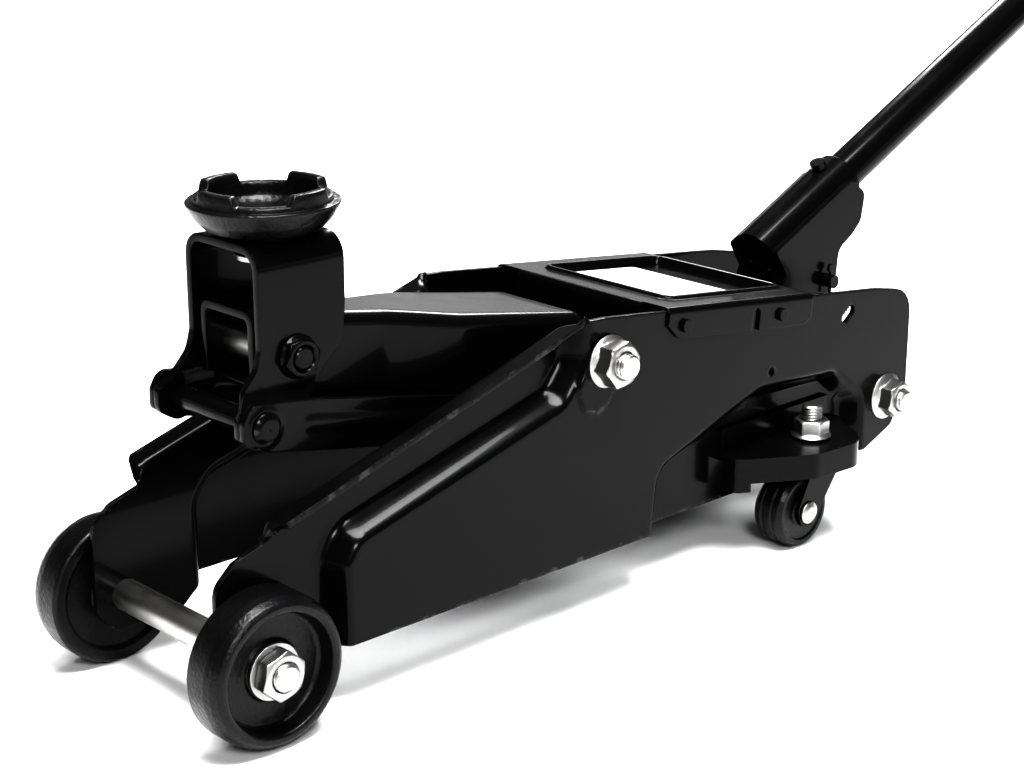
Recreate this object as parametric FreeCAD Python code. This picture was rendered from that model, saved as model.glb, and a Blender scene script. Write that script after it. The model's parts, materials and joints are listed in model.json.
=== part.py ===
import FreeCAD, Part
import math
import os

# Low-profile two-tonne hydraulic trolley jack, drawn with its arm partly raised.
# Millimetres. While building, x = 0 is the front axle, +X runs back to the handle, +Y is the
# right-hand side, +Z is up and z = 0 is the floor. Everything is moved along X once, on export,
# so that the origin lies on the floor under the middle of the bounding box.

V = FreeCAD.Vector
os.makedirs("parts", exist_ok=True)

# ---- overall sizes -----------------------------------------------------------------------------
HANDLE_LENGTH = 560.0        # handle standing out of its socket
HANDLE_R = 12.0              # handle tube outside radius
HANDLE_WALL = 2.0
HANDLE_ANGLE = 25.8          # handle above horizontal at rest
PLATE_T = 3.0                # pressed side plates
PLATE_FRONT_Y = 52.5         # outer face beside the front wheels
PLATE_REAR_Y = 65.0          # outer face of the pressed-out rear panel
RUN = 0.05                   # radial clearance of every running fit
GAP = 0.4                    # clearance between faces that pass each other

# ---- front axle and wheels ---------------------------------------------------------------------
WHEEL_R = 37.5
WHEEL_IN_Y = 55.0
WHEEL_OUT_Y = 78.2
AXLE_R = 8.0
THREAD_STEP = 1.1            # a shaft thread is this much smaller in radius than its shaft
THREAD_R = AXLE_R - THREAD_STEP
AXLE_END_Y = 83.0

# ---- lift linkage (an exact parallelogram) -----------------------------------------------------
ARM_PIVOT = (220.0, 138.0)   # lift shaft
YOKE_BOLT = (51.5, 167.0)    # arm to saddle bracket
LINK_OFFSET = (-27.0, -26.7)  # link pivots measured from the arm pivots
YOKE_PIN = (YOKE_BOLT[0] + LINK_OFFSET[0], YOKE_BOLT[1] + LINK_OFFSET[1])
LINK_PIVOT = (ARM_PIVOT[0] + LINK_OFFSET[0], ARM_PIVOT[1] + LINK_OFFSET[1])
HORN_R = 44.0                # arm pivot down to the ram roller
SHAFT_R = 8.0
SHAFT_THREAD_R = SHAFT_R - THREAD_STEP
HORN_PIN_R = 5.0
LINK_PIN_R = 5.0
BOLT_R = 6.0
ARM_T = 4.0
ARM_FRONT_Y = 20.6           # outer half width inside the yoke
ARM_REAR_Y = 33.0            # outer half width at the lift shaft
YOKE_T = 4.0
YOKE_Y = 28.5                # outer half width of the saddle bracket
EAR_Y = 34.5                 # outer half width of its lower ears
LINK_IN_Y = 35.0
LINK_T = 4.0
YOKE_TOP = 221.5
YOKE_FOLD_R = 12.0
FLARE_Z = 154.0              # below here the saddle bracket spreads out to its ears
EAR_Z = 147.0

# ---- saddle ------------------------------------------------------------------------------------
SADDLE_X = 56.0
SADDLE_R = 36.9
SADDLE_RIM_Z = YOKE_TOP + 16.0
LUG_TOP_Z = SADDLE_RIM_Z + 6.5
LUG_COUNT = 4
LUG_TURN = 8.0               # degrees from +X to the middle of the first lug
LUG_SPREAD = 21.0            # half the angle a lug spans
SADDLE_STEM_R = 10.0
STEM_FOOT_Z = YOKE_TOP - 10.0  # lower end of the saddle's stem

# ---- hydraulic unit ----------------------------------------------------------------------------
RAM_Z = 98.0
RAM_R = 12.0
RAM_GAP = 1.1                # ram head to horn roller at rest
ROLLER_R = 9.0
TANK_R = 24.0
TANK_X = (270.0, 404.0)
BLOCK_X = (404.0, 476.0)
REAR_BOLT = (460.0, 66.0)
REAR_BOLT_R = 7.0
REAR_THREAD_R = REAR_BOLT_R - 0.8
BLOCK_HALF = 24.0            # valve block half width
REAR_BOLT_IN_Y = 10.0        # inner end of each rear bolt, screwed into the valve block

# ---- handle socket -----------------------------------------------------------------------------
SOCKET_PIVOT = (424.0, 117.0)
SOCKET_END = (413.0, 148.0)  # lower end of the handle, on its axis
SOCKET_LENGTH = 84.0
SOCKET_PIN_R = 5.0
PUMP_ROLLER = (457.0, 129.0)
PUMP_ROLLER_R = 8.0
PUMP_PIN_R = 4.0
PUMP_GAP = 1.2
PLUNGER_X = 452.0
PLUNGER_R = 6.0

# ---- rear casters ------------------------------------------------------------------------------
STEM = (383.0, 71.0)         # x and |y| of each swivel stem
STEM_R = 6.0
CASTER_TRAIL = 16.0
CASTER_R = 21.5
CASTER_WIDTH = 20.0
CASTER_AXLE_R = 4.0
BRACKET_TOP = 59.5

nodes = {}


# ---- helpers -----------------------------------------------------------------------------------
def box(x0, x1, y0, y1, z0, z1):
    return Part.makeBox(x1 - x0, y1 - y0, z1 - z0, V(x0, y0, z0))


def cyl_x(y, z, r, x0, x1):
    return Part.makeCylinder(r, x1 - x0, V(x0, y, z), V(1, 0, 0))


def cyl_y(xz, r, y0, y1):
    return Part.makeCylinder(r, y1 - y0, V(xz[0], y0, xz[1]), V(0, 1, 0))


def cyl_z(xy, r, z0, z1):
    return Part.makeCylinder(r, z1 - z0, V(xy[0], xy[1], z0), V(0, 0, 1))


def ring_y(xz, r_out, r_in, y0, y1):
    return cyl_y(xz, r_out, y0, y1).cut(cyl_y(xz, r_in, y0 - 1, y1 + 1))


def ring_z(xy, r_out, r_in, z0, z1):
    return cyl_z(xy, r_out, z0, z1).cut(cyl_z(xy, r_in, z0 - 1, z1 + 1))


def both(make, y0, y1):
    """The same feature on both sides: make(y0, y1) on the right and its mirror on the left."""
    right = make(y0, y1)
    return right.fuse(mirrored(right))


def mirrored(shape):
    return shape.mirror(V(0, 0, 0), V(0, 1, 0))


def fuse(shapes):
    result = shapes[0]
    for shape in shapes[1:]:
        result = result.fuse(shape)
    return result.removeSplitter()


def as_solid(shape):
    """The single solid in a boolean result."""
    shape = shape.removeSplitter()
    return shape.Solids[0] if len(shape.Solids) == 1 else shape


def rounded_points(points, radii):
    """Edges of a closed polygon in a 2-D plane, with each corner rounded to its own radius."""
    count = len(points)
    corners = []
    for i in range(count):
        here = FreeCAD.Base.Vector2d(*points[i])
        before = FreeCAD.Base.Vector2d(*points[i - 1])
        after = FreeCAD.Base.Vector2d(*points[(i + 1) % count])
        r = radii[i] if isinstance(radii, (list, tuple)) else radii
        into = (before.x - here.x, before.y - here.y)
        out = (after.x - here.x, after.y - here.y)
        a = math.hypot(*into)
        b = math.hypot(*out)
        into = (into[0] / a, into[1] / a)
        out = (out[0] / b, out[1] / b)
        cos_full = max(-1.0, min(1.0, into[0] * out[0] + into[1] * out[1]))
        half = math.acos(cos_full) / 2
        if r <= 0 or half > math.radians(89.5):
            corners.append((points[i], points[i], points[i]))
            continue
        t = min(r / math.tan(half), 0.49 * a, 0.49 * b)
        r = t * math.tan(half)
        start = (here.x + into[0] * t, here.y + into[1] * t)
        end = (here.x + out[0] * t, here.y + out[1] * t)
        mid_dir = (into[0] + out[0], into[1] + out[1])
        size = math.hypot(*mid_dir)
        reach = r / math.sin(half) - r
        mid = (here.x + mid_dir[0] / size * reach, here.y + mid_dir[1] / size * reach)
        corners.append((start, mid, end))
    return corners


def rounded_face(points, radii, to_3d):
    corners = rounded_points(points, radii)
    edges = []
    for i, (start, mid, end) in enumerate(corners):
        if start != end:
            edges.append(Part.Arc(to_3d(start), to_3d(mid), to_3d(end)).toShape())
        following = corners[(i + 1) % len(corners)][0]
        if math.dist(end, following) > 1e-6:
            edges.append(Part.LineSegment(to_3d(end), to_3d(following)).toShape())
    return Part.Face(Part.Wire(edges))


def prism_y(points, y0, y1, radii=0.0):
    """A closed (x, z) outline pushed from y0 to y1."""
    face = rounded_face(points, radii, lambda p: V(p[0], y0, p[1]))
    return face.extrude(V(0, y1 - y0, 0))


def prism_z(points, z0, z1, radii=0.0):
    """A closed (x, y) outline pushed from z0 to z1."""
    face = rounded_face(points, radii, lambda p: V(p[0], p[1], z0))
    return face.extrude(V(0, 0, z1 - z0))


def prism_x(points, x0, x1, radii=0.0):
    """A closed (y, z) outline pushed from x0 to x1."""
    face = rounded_face(points, radii, lambda p: V(x0, p[0], p[1]))
    return face.extrude(V(x1 - x0, 0, 0))


def offset_outline(points, distance):
    """A closed polygon with every edge moved outwards by the same distance."""
    count = len(points)
    area = sum(points[i - 1][0] * points[i][1] - points[i][0] * points[i - 1][1]
               for i in range(count))
    turn = 1.0 if area > 0 else -1.0
    lines = []
    for i in range(count):
        (x0, y0), (x1, y1) = points[i], points[(i + 1) % count]
        length = math.hypot(x1 - x0, y1 - y0)
        nx, ny = turn * (y1 - y0) / length, -turn * (x1 - x0) / length
        lines.append((nx, ny, nx * x0 + ny * y0 + distance))
    moved = []
    for i in range(count):
        a, b = lines[i - 1], lines[i]
        det = a[0] * b[1] - a[1] * b[0]
        moved.append(((a[2] * b[1] - a[1] * b[2]) / det, (a[0] * b[2] - a[2] * b[0]) / det))
    return moved


def frustum_y(points_a, y_a, points_b, y_b):
    """A solid between two outlines with matching parallel edges, in the planes y_a and y_b."""
    a = [V(p[0], y_a, p[1]) for p in points_a]
    b = [V(p[0], y_b, p[1]) for p in points_b]
    count = len(a)
    faces = [Part.Face(Part.makePolygon(a + [a[0]])), Part.Face(Part.makePolygon(b + [b[0]]))]
    for i in range(count):
        j = (i + 1) % count
        faces.append(Part.Face(Part.makePolygon([a[i], a[j], b[j], b[i], a[i]])))
    solid = Part.Solid(Part.Shell(faces))
    if solid.Volume < 0:
        solid.reverse()
    return solid


def stadium_y(a, b, r, y0, y1):
    """A round-ended bar between two (x, z) points."""
    dx, dz = b[0] - a[0], b[1] - a[1]
    length = math.hypot(dx, dz)
    nx, nz = -dz / length * r, dx / length * r
    bar = prism_y([(a[0] + nx, a[1] + nz), (b[0] + nx, b[1] + nz),
                   (b[0] - nx, b[1] - nz), (a[0] - nx, a[1] - nz)], y0, y1)
    return fuse([bar, cyl_y(a, r, y0, y1), cyl_y(b, r, y0, y1)])


def revolve_y(xz, profile):
    """A turned part from (radius, y) points, about a Y axis through (x, z)."""
    wire = Part.makePolygon([V(xz[0] + r, y, xz[1]) for r, y in profile + profile[:1]])
    return Part.Face(wire).revolve(V(xz[0], 0, xz[1]), V(0, 1, 0), 360)


def revolve_z(xy, profile):
    """A turned part from (radius, z) points, about a Z axis through (x, y)."""
    wire = Part.makePolygon([V(xy[0] + r, xy[1], z) for r, z in profile + profile[:1]])
    return Part.Face(wire).revolve(V(xy[0], xy[1], 0), V(0, 0, 1), 360)


def hexagon(cx, cy, across_flats, turn=0.0):
    r = across_flats / math.sqrt(3)
    return [(cx + r * math.cos(math.radians(turn + 60 * i)),
             cy + r * math.sin(math.radians(turn + 60 * i))) for i in range(6)]


def nut_y(xz, across_flats, bore_r, y0, y1, flange_r=0.0, turn=0.0):
    """A hexagon nut on a Y axis, with a flange at its y0 end when flange_r is given."""
    body = prism_y(hexagon(xz[0], xz[1], across_flats, turn), y0, y1)
    cone_r = across_flats / math.sqrt(3)
    span = abs(y1 - y0) + cone_r
    tip = Part.makeCone(cone_r + span - 0.35 * across_flats / 2, 0.0,
                        cone_r + span - 0.35 * across_flats / 2,
                        V(xz[0], y0, xz[1]), V(0, 1 if y1 > y0 else -1, 0))
    body = body.common(tip)
    if flange_r:
        direction = 1 if y1 > y0 else -1
        body = body.fuse(Part.makeCone(flange_r, across_flats / 2, 3.0,
                                       V(xz[0], y0, xz[1]), V(0, direction, 0)))
    return as_solid(body.cut(cyl_y(xz, bore_r, min(y0, y1) - 1, max(y0, y1) + 1)))


def tilted(shape, degrees, about):
    """A shape turned about a Y axis through (x, z); positive lifts the +X end."""
    turned = shape.copy()
    turned.rotate(V(about[0], 0, about[1]), V(0, -1, 0), degrees)
    return turned


def coil(radius, wire_r, pitch, height, base):
    """A helical spring standing on base along +Z."""
    helix = Part.makeHelix(pitch, height, radius)
    profile = Part.Wire([Part.Circle(V(radius, 0, 0), V(0, 1, 0), wire_r).toShape()])
    spring = Part.Wire(helix.Edges).makePipeShell([profile], True, True)
    spring.translate(V(*base))
    return spring


# ---- side plates -------------------------------------------------------------------------------
SLOPE_LOW = (15.0, 103.0)
SLOPE_HIGH = (207.0, 161.0)
TOP_START = (220.0, 160.5)
TOP_END = (446.5, 134.6)
TOP_FALL = (TOP_END[1] - TOP_START[1]) / (TOP_END[0] - TOP_START[0])

PLATE_OUTLINE = [(-17, 32), (-17, 76), (-6, 86), (13, 92), SLOPE_LOW, SLOPE_HIGH, TOP_START,
                 TOP_END, (479.5, 128), (479.5, 69), (467, 46.7), (442, 36.5), (425, 36.5),
                 (425, 62), (343, 62), (343, 31.8), (45, 31.8), (32, 20), (-8, 20)]
PLATE_RADII = [6, 10, 6, 3, 4, 8, 6, 22, 22, 6, 6, 3, 3, 14, 14, 3, 8, 8, 10]
PANEL_OUTLINE = [(50, 5), (50, 72), (57, 83), (192, 119.5), (206, 137), (210, 185),
                 (530, 185), (530, 5), (438, 5), (438, 70), (412, 92), (345, 96),
                 (262, 68), (255, 5)]
WALL_SLOPE = 0.64            # how far a panel wall leans out per millimetre of depth
COVER_X = (264.0, 386.0)
COVER_LIFT = 0.1             # cover above the plates' top edge
SCREW_X = (279.5, 359.3)
SCREW_DROP = 8.5             # cover screws below the cover's underside


def top_edge_z(x):
    return TOP_START[1] + TOP_FALL * (x - TOP_START[0])


def screw_at(x):
    """Where a cover screw drawn at x on the level cover ends up on the tilted one."""
    angle = math.atan(TOP_FALL)
    x0, z0 = COVER_X[0], top_edge_z(COVER_X[0]) + COVER_LIFT
    dx, dz = x - x0, -SCREW_DROP
    return (x0 + dx * math.cos(angle) - dz * math.sin(angle),
            z0 + dx * math.sin(angle) + dz * math.cos(angle))


def side_plate():
    inner_y = PLATE_FRONT_Y - PLATE_T
    panel_out = frustum_y(offset_outline(PANEL_OUTLINE, WALL_SLOPE * (PLATE_REAR_Y - inner_y)),
                          inner_y, PANEL_OUTLINE, PLATE_REAR_Y)
    shift = PLATE_T * math.hypot(1.0, WALL_SLOPE)
    floor_y = PLATE_REAR_Y - PLATE_T
    start_y = inner_y - 2.0
    panel_in = frustum_y(
        offset_outline(PANEL_OUTLINE, WALL_SLOPE * (PLATE_REAR_Y - start_y) - shift), start_y,
        offset_outline(PANEL_OUTLINE, WALL_SLOPE * PLATE_T - shift), floor_y)
    web = prism_y(PLATE_OUTLINE, inner_y, PLATE_FRONT_Y, PLATE_RADII)
    pressed = panel_out.common(prism_y(PLATE_OUTLINE, inner_y, PLATE_REAR_Y, PLATE_RADII))
    flange = prism_y([SLOPE_LOW, SLOPE_HIGH, (SLOPE_HIGH[0] + 1, SLOPE_HIGH[1] - PLATE_T),
                      (SLOPE_LOW[0] + 1, SLOPE_LOW[1] - PLATE_T)],
                     PLATE_FRONT_Y - 1, PLATE_REAR_Y - 1)
    boss = stadium_y(ARM_PIVOT, (ARM_PIVOT[0] - 7, ARM_PIVOT[1] - 13), 13.5,
                     PLATE_REAR_Y - 1, PLATE_REAR_Y + 2)
    plate = web.fuse(pressed).cut(panel_in).fuse(flange).fuse(boss)
    for xz, r in ((ARM_PIVOT, SHAFT_R + RUN), ((0.0, WHEEL_R), AXLE_R + RUN),
                  (REAR_BOLT, REAR_BOLT_R + RUN), ((353.0, 103.5), 2.6), ((196.0, 150.0), 2.0)):
        plate = plate.cut(cyl_y(xz, r, 30, 90))
    plate = plate.cut(stadium_y((418, 122.5), (422, 125.5), 3.2, 30, 90))
    for x in SCREW_X:
        plate = plate.cut(cyl_y(screw_at(x), 2.05, 30, 90))
    plate = plate.cut(cyl_y(LINK_PIVOT, LINK_PIN_R + RUN, 30, PLATE_REAR_Y - PLATE_T + 1.5))
    return as_solid(plate)


right_plate = side_plate()
nodes["side_plate_right"] = right_plate
nodes["side_plate_left"] = mirrored(right_plate)

# ---- front axle and wheels ---------------------------------------------------------------------
AXLE = (0.0, WHEEL_R)
HUB_Y = 70.0
nodes["front_axle"] = fuse([cyl_y(AXLE, AXLE_R, -HUB_Y - 0.4, HUB_Y + 0.4),
                            cyl_y(AXLE, THREAD_R, -AXLE_END_Y, AXLE_END_Y)])


def front_wheel():
    return revolve_y(AXLE, [
        (AXLE_R + RUN, WHEEL_IN_Y), (14, WHEEL_IN_Y), (15, WHEEL_IN_Y + 2), (29, WHEEL_IN_Y + 2),
        (31, WHEEL_IN_Y), (36.3, WHEEL_IN_Y), (WHEEL_R, WHEEL_IN_Y + 1.5), (WHEEL_R, 69),
        (36.8, 73), (35.2, 76.6), (33.2, WHEEL_OUT_Y), (30.8, WHEEL_OUT_Y), (29.6, 77.4),
        (28.6, 69.6), (27, 68.2), (15, 68.2), (14, HUB_Y), (AXLE_R + RUN, HUB_Y)])


wheel_right = front_wheel()
nodes["front_wheel_right"] = wheel_right
nodes["front_wheel_left"] = mirrored(wheel_right)
nodes["axle_washers"] = both(lambda a, b: ring_y(AXLE, 14, THREAD_R + RUN, a, b),
                             HUB_Y + GAP, HUB_Y + GAP + 2)
nodes["axle_nuts"] = both(
    lambda a, b: nut_y(AXLE, 22, THREAD_R + RUN, a, b, 0.0, 18.0),
    HUB_Y + GAP + 2.05, HUB_Y + GAP + 10.5)

# ---- lift shaft --------------------------------------------------------------------------------
SHAFT_SEAT_Y = PLATE_REAR_Y + 2.0
SHAFT_END_Y = SHAFT_SEAT_Y + 17.0
nodes["lift_shaft"] = fuse([cyl_y(ARM_PIVOT, SHAFT_R, -SHAFT_SEAT_Y, SHAFT_SEAT_Y),
                            cyl_y(ARM_PIVOT, SHAFT_THREAD_R, -SHAFT_END_Y, SHAFT_END_Y)])
nodes["lift_shaft_nuts"] = both(
    lambda a, b: nut_y(ARM_PIVOT, 22, SHAFT_THREAD_R + RUN, a, b, 14.0, 10.0),
    SHAFT_SEAT_Y + 0.05, SHAFT_SEAT_Y + 12)
nodes["lift_shaft_spacers"] = both(lambda a, b: ring_y(ARM_PIVOT, 11.5, SHAFT_R + RUN, a, b),
                                   ARM_REAR_Y + GAP, PLATE_REAR_Y - PLATE_T - 0.05)

# ---- lift arm ----------------------------------------------------------------------------------
SPRING_Y = 46.0
SPRING_PEG = (ARM_PIVOT[0] + 15.0, ARM_PIVOT[1] - 26.0)
SPRING_ANCHOR = (SPRING_PEG[0] + 74.0, SPRING_PEG[1])
HORN = (ARM_PIVOT[0], ARM_PIVOT[1] - HORN_R)
ARM_SIDE = [(32, 154), (32, 189.5), (52, 189.5), (88, 179.6), (236, 153.5), (246, 140), (241, 122),
            (233, 97), (230, 84), (210, 84), (206, 98), (202, 118), (180, 126), (64, 146.5)]
ARM_SIDE_RADII = [3, 9, 24, 40, 10, 12, 20, 8, 8, 8, 8, 14, 20, 10]


def arm_plan(half_front, half_rear, x0):
    return [(x0, half_front), (112, half_front), (152, half_rear), (260, half_rear),
            (260, -half_rear), (152, -half_rear), (112, -half_front), (x0, -half_front)]


arm_block = prism_y(ARM_SIDE, -40, 40, ARM_SIDE_RADII).common(
    prism_z(arm_plan(ARM_FRONT_Y, ARM_REAR_Y, 20.0), 60, 220, [0, 40, 40, 0, 0, 40, 40, 0]))
arm_room = [(10, 120), (10, ARM_SIDE[1][1] - ARM_T)] + [(x, z - ARM_T) for x, z in ARM_SIDE[2:5]]
arm_room += [(262, 146), (262, 60), (120, 60)]
arm_hollow = prism_y(arm_room, -40, 40, [0, 0, 24, 40, 8, 0, 0, 0]).common(
    prism_z(arm_plan(ARM_FRONT_Y - ARM_T, ARM_REAR_Y - ARM_T, 0.0), 40, 220,
            [0, 40, 40, 0, 0, 40, 40, 0]))
arm = arm_block.cut(arm_hollow)
arm = arm.fuse(box(34, 88, -ARM_FRONT_Y + 1, ARM_FRONT_Y - 1, 150, 154).common(
    prism_y([(33, 150), (33, 157), (90, 147), (90, 140)], -40, 40)))
for centre, r in ((YOKE_BOLT, BOLT_R), (HORN, HORN_PIN_R)):
    arm = arm.cut(cyl_y(centre, r + RUN, -60, 60))
arm_tube = ring_y(ARM_PIVOT, 12.5, SHAFT_R + RUN, -ARM_REAR_Y, ARM_REAR_Y)
arm = arm.cut(cyl_y(ARM_PIVOT, 12.0, -60, 60)).fuse(arm_tube)
arm = arm.fuse(both(lambda a, b: cyl_y(SPRING_PEG, 3.5, a, b), ARM_REAR_Y - 2, SPRING_Y + 4))
nodes["lift_arm"] = as_solid(arm)
nodes["yoke_spacer"] = Part.makeCompound([
    ring_y(YOKE_BOLT, 9.5, BOLT_R + RUN, y0, y1) for y0, y1 in (
        (ARM_T - ARM_FRONT_Y + 0.05, ARM_FRONT_Y - ARM_T - 0.05),
        (ARM_FRONT_Y + 0.1, YOKE_Y - YOKE_T - 0.1), (YOKE_T - YOKE_Y + 0.1, -ARM_FRONT_Y - 0.1))])
nodes["horn_pin"] = cyl_y(HORN, HORN_PIN_R, -ARM_REAR_Y - 0.8, ARM_REAR_Y + 0.8)
nodes["horn_roller"] = ring_y(HORN, ROLLER_R, HORN_PIN_R + RUN, -13, 13)

# ---- saddle bracket (yoke) ---------------------------------------------------------------------
yoke_section = [(-YOKE_Y, YOKE_TOP), (YOKE_Y, YOKE_TOP), (YOKE_Y, FLARE_Z), (EAR_Y, EAR_Z), (EAR_Y, 120),
                (EAR_Y - YOKE_T, 120), (EAR_Y - YOKE_T, EAR_Z - 1), (YOKE_Y - YOKE_T, FLARE_Z - 1),
                (YOKE_Y - YOKE_T, YOKE_TOP - YOKE_T), (YOKE_T - YOKE_Y, YOKE_TOP - YOKE_T),
                (YOKE_T - YOKE_Y, FLARE_Z - 1), (YOKE_T - EAR_Y, EAR_Z - 1), (YOKE_T - EAR_Y, 120),
                (-EAR_Y, 120), (-EAR_Y, EAR_Z), (-YOKE_Y, FLARE_Z)]
yoke_radii = [YOKE_FOLD_R, YOKE_FOLD_R, 5, 5, 0, 0, 4, 4, YOKE_FOLD_R - YOKE_T,
              YOKE_FOLD_R - YOKE_T, 4, 4, 0, 0, 5, 5]
yoke_side = [(30.5, YOKE_TOP + 1), (80.5, YOKE_TOP + 1), (79, 169.5), (53, 146.8), (39, 146),
             (35, 131), (23, 127.5), (12.5, 134), (13.5, 148), (27.5, 163)]
yoke = prism_x(yoke_section, 0, 100, yoke_radii).common(
    prism_y(yoke_side, -50, 50, [0, 0, 3, 4, 6, 8, 8, 8, 8, 12]))
yoke = yoke.cut(cyl_y(YOKE_BOLT, BOLT_R + RUN, -60, 60)).cut(cyl_y(YOKE_PIN, BOLT_R + 0.02, -60, 60))
yoke = yoke.cut(cyl_z((SADDLE_X, 0), SADDLE_STEM_R + RUN, STEM_FOOT_Z - 4, YOKE_TOP + 2))
nodes["yoke"] = as_solid(yoke)
BOLT_HEAD = 5.6
nodes["yoke_bolt"] = fuse([cyl_y(YOKE_BOLT, BOLT_R, -YOKE_Y - GAP - BOLT_HEAD, YOKE_Y + GAP),
                           prism_y(hexagon(YOKE_BOLT[0], YOKE_BOLT[1], 18, 12),
                                   YOKE_Y + GAP, YOKE_Y + GAP + BOLT_HEAD)])
nodes["yoke_nut"] = mirrored(nut_y(YOKE_BOLT, 18, BOLT_R + RUN, YOKE_Y + GAP,
                                   YOKE_Y + GAP + BOLT_HEAD - 0.4, 10.8, 12))
PIN_HEAD_Y = LINK_IN_Y + LINK_T + 0.4
nodes["yoke_pin"] = fuse([cyl_y(YOKE_PIN, BOLT_R, -PIN_HEAD_Y - 0.5, PIN_HEAD_Y + 0.5),
                          both(lambda a, b: cyl_y(YOKE_PIN, 7.8, a, b), PIN_HEAD_Y,
                               PIN_HEAD_Y + 2.8)])

# ---- radius links ------------------------------------------------------------------------------


def link():
    out_y = LINK_IN_Y + LINK_T
    fx, fz = YOKE_PIN
    rx, rz = LINK_PIVOT
    outline = [(fx - 12, fz + 4), (fx - 7, fz + 12.5), (fx + 30, fz + 7.5), (rx - 10, rz + 10.5),
               (rx + 11, rz + 8), (rx + 12, rz - 6), (rx + 4, rz - 11.5), (rx - 40, rz - 7),
               (fx + 40, fz - 20), (fx + 2, fz - 12.5), (fx - 10, fz - 9)]
    bar = prism_y(outline, LINK_IN_Y, out_y, [8, 8, 20, 8, 8, 8, 8, 30, 30, 8, 8])
    bar = bar.cut(cyl_y(YOKE_PIN, BOLT_R + 0.1, 20, 60)).cut(
        cyl_y(LINK_PIVOT, LINK_PIN_R + RUN, 20, 60))
    return as_solid(bar)


link_right = link()
nodes["link_right"] = link_right
nodes["link_left"] = mirrored(link_right)
PIVOT_OUT_Y = PLATE_REAR_Y - PLATE_T


def link_pivot(y0, y1):
    return fuse([cyl_y(LINK_PIVOT, LINK_PIN_R, y0, y1),
                 cyl_y(LINK_PIVOT, LINK_PIN_R + 0.4, y0 + 6, PIVOT_OUT_Y - 0.05),
                 cyl_y(LINK_PIVOT, 9.0, LINK_IN_Y + LINK_T + GAP, PIVOT_OUT_Y - 5.5)])


nodes["link_pivots"] = both(link_pivot, LINK_IN_Y - 0.6, PIVOT_OUT_Y + 1.0)

# ---- saddle ------------------------------------------------------------------------------------
SADDLE = (SADDLE_X, 0.0)
SEAT_Z = YOKE_TOP + 0.3
FLOOR_Z = SEAT_Z + 6.8        # flat floor of the dish


def saddle():
    dish = revolve_z(SADDLE, [
        (0.0, STEM_FOOT_Z), (SADDLE_STEM_R, STEM_FOOT_Z), (SADDLE_STEM_R, SEAT_Z), (24.0, SEAT_Z),
        (28.5, SEAT_Z + 2.4), (32.5, SEAT_Z + 6.6), (35.3, SEAT_Z + 11.4), (SADDLE_R, SEAT_Z + 14.2),
        (SADDLE_R - 0.8, SADDLE_RIM_Z - 0.9), (SADDLE_R - 3.6, SADDLE_RIM_Z - 0.9),
        (SADDLE_R - 4.6, SADDLE_RIM_Z + 1.6), (SADDLE_R - 8.4, SADDLE_RIM_Z + 1.6),
        (SADDLE_R - 9.8, SADDLE_RIM_Z - 5.0), (SADDLE_R - 13.9, SADDLE_RIM_Z - 7.6),
        (17.0, FLOOR_Z), (0.0, FLOOR_Z)])
    lug_ring = ring_z(SADDLE, SADDLE_R - 3.9, SADDLE_R - 9.6, FLOOR_Z + 6.0, LUG_TOP_Z)
    lugs = []
    reach = 1.6 * SADDLE_R
    for i in range(LUG_COUNT):
        middle = LUG_TURN + 360 / LUG_COUNT * i
        ends = [math.radians(middle + turn) for turn in (-LUG_SPREAD, LUG_SPREAD)]
        wedge = [SADDLE] + [(SADDLE_X + reach * math.cos(a), reach * math.sin(a)) for a in ends]
        lugs.append(lug_ring.common(prism_z(wedge, SEAT_Z, LUG_TOP_Z + 1)))
    dish = fuse([dish] + lugs)
    return as_solid(dish.cut(cyl_z(SADDLE, 3.0, STEM_FOOT_Z - 1, SEAT_Z + 3)))


nodes["saddle"] = saddle()
nodes["saddle_retainer"] = fuse([
    ring_z(SADDLE, 14.5, 3.0 + RUN, STEM_FOOT_Z - 2.4, STEM_FOOT_Z - 0.05),
    cyl_z(SADDLE, 5.5, STEM_FOOT_Z - 6.4, STEM_FOOT_Z - 2.4),
    cyl_z(SADDLE, 2.9, STEM_FOOT_Z - 4.0, SEAT_Z + 2)])

# ---- cover plate between the side plates -------------------------------------------------------
COVER_T = 1.5
COVER_HALF = PLATE_REAR_Y + 0.2 + COVER_T
TRAY_X = (286.0, 379.0)
TRAY_HALF = 47.0
TRAY_DROP = 4.0
LABEL_END = TRAY_X[1] - 24.0  # rear edge of the label, well short of the tray's
FRONT_WALL_BOTTOM = 128.0
COVER_TILT = math.degrees(math.atan(TOP_FALL))
COVER_PIVOT = (COVER_X[0], top_edge_z(COVER_X[0]) + COVER_LIFT)
cz = COVER_PIVOT[1]


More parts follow.
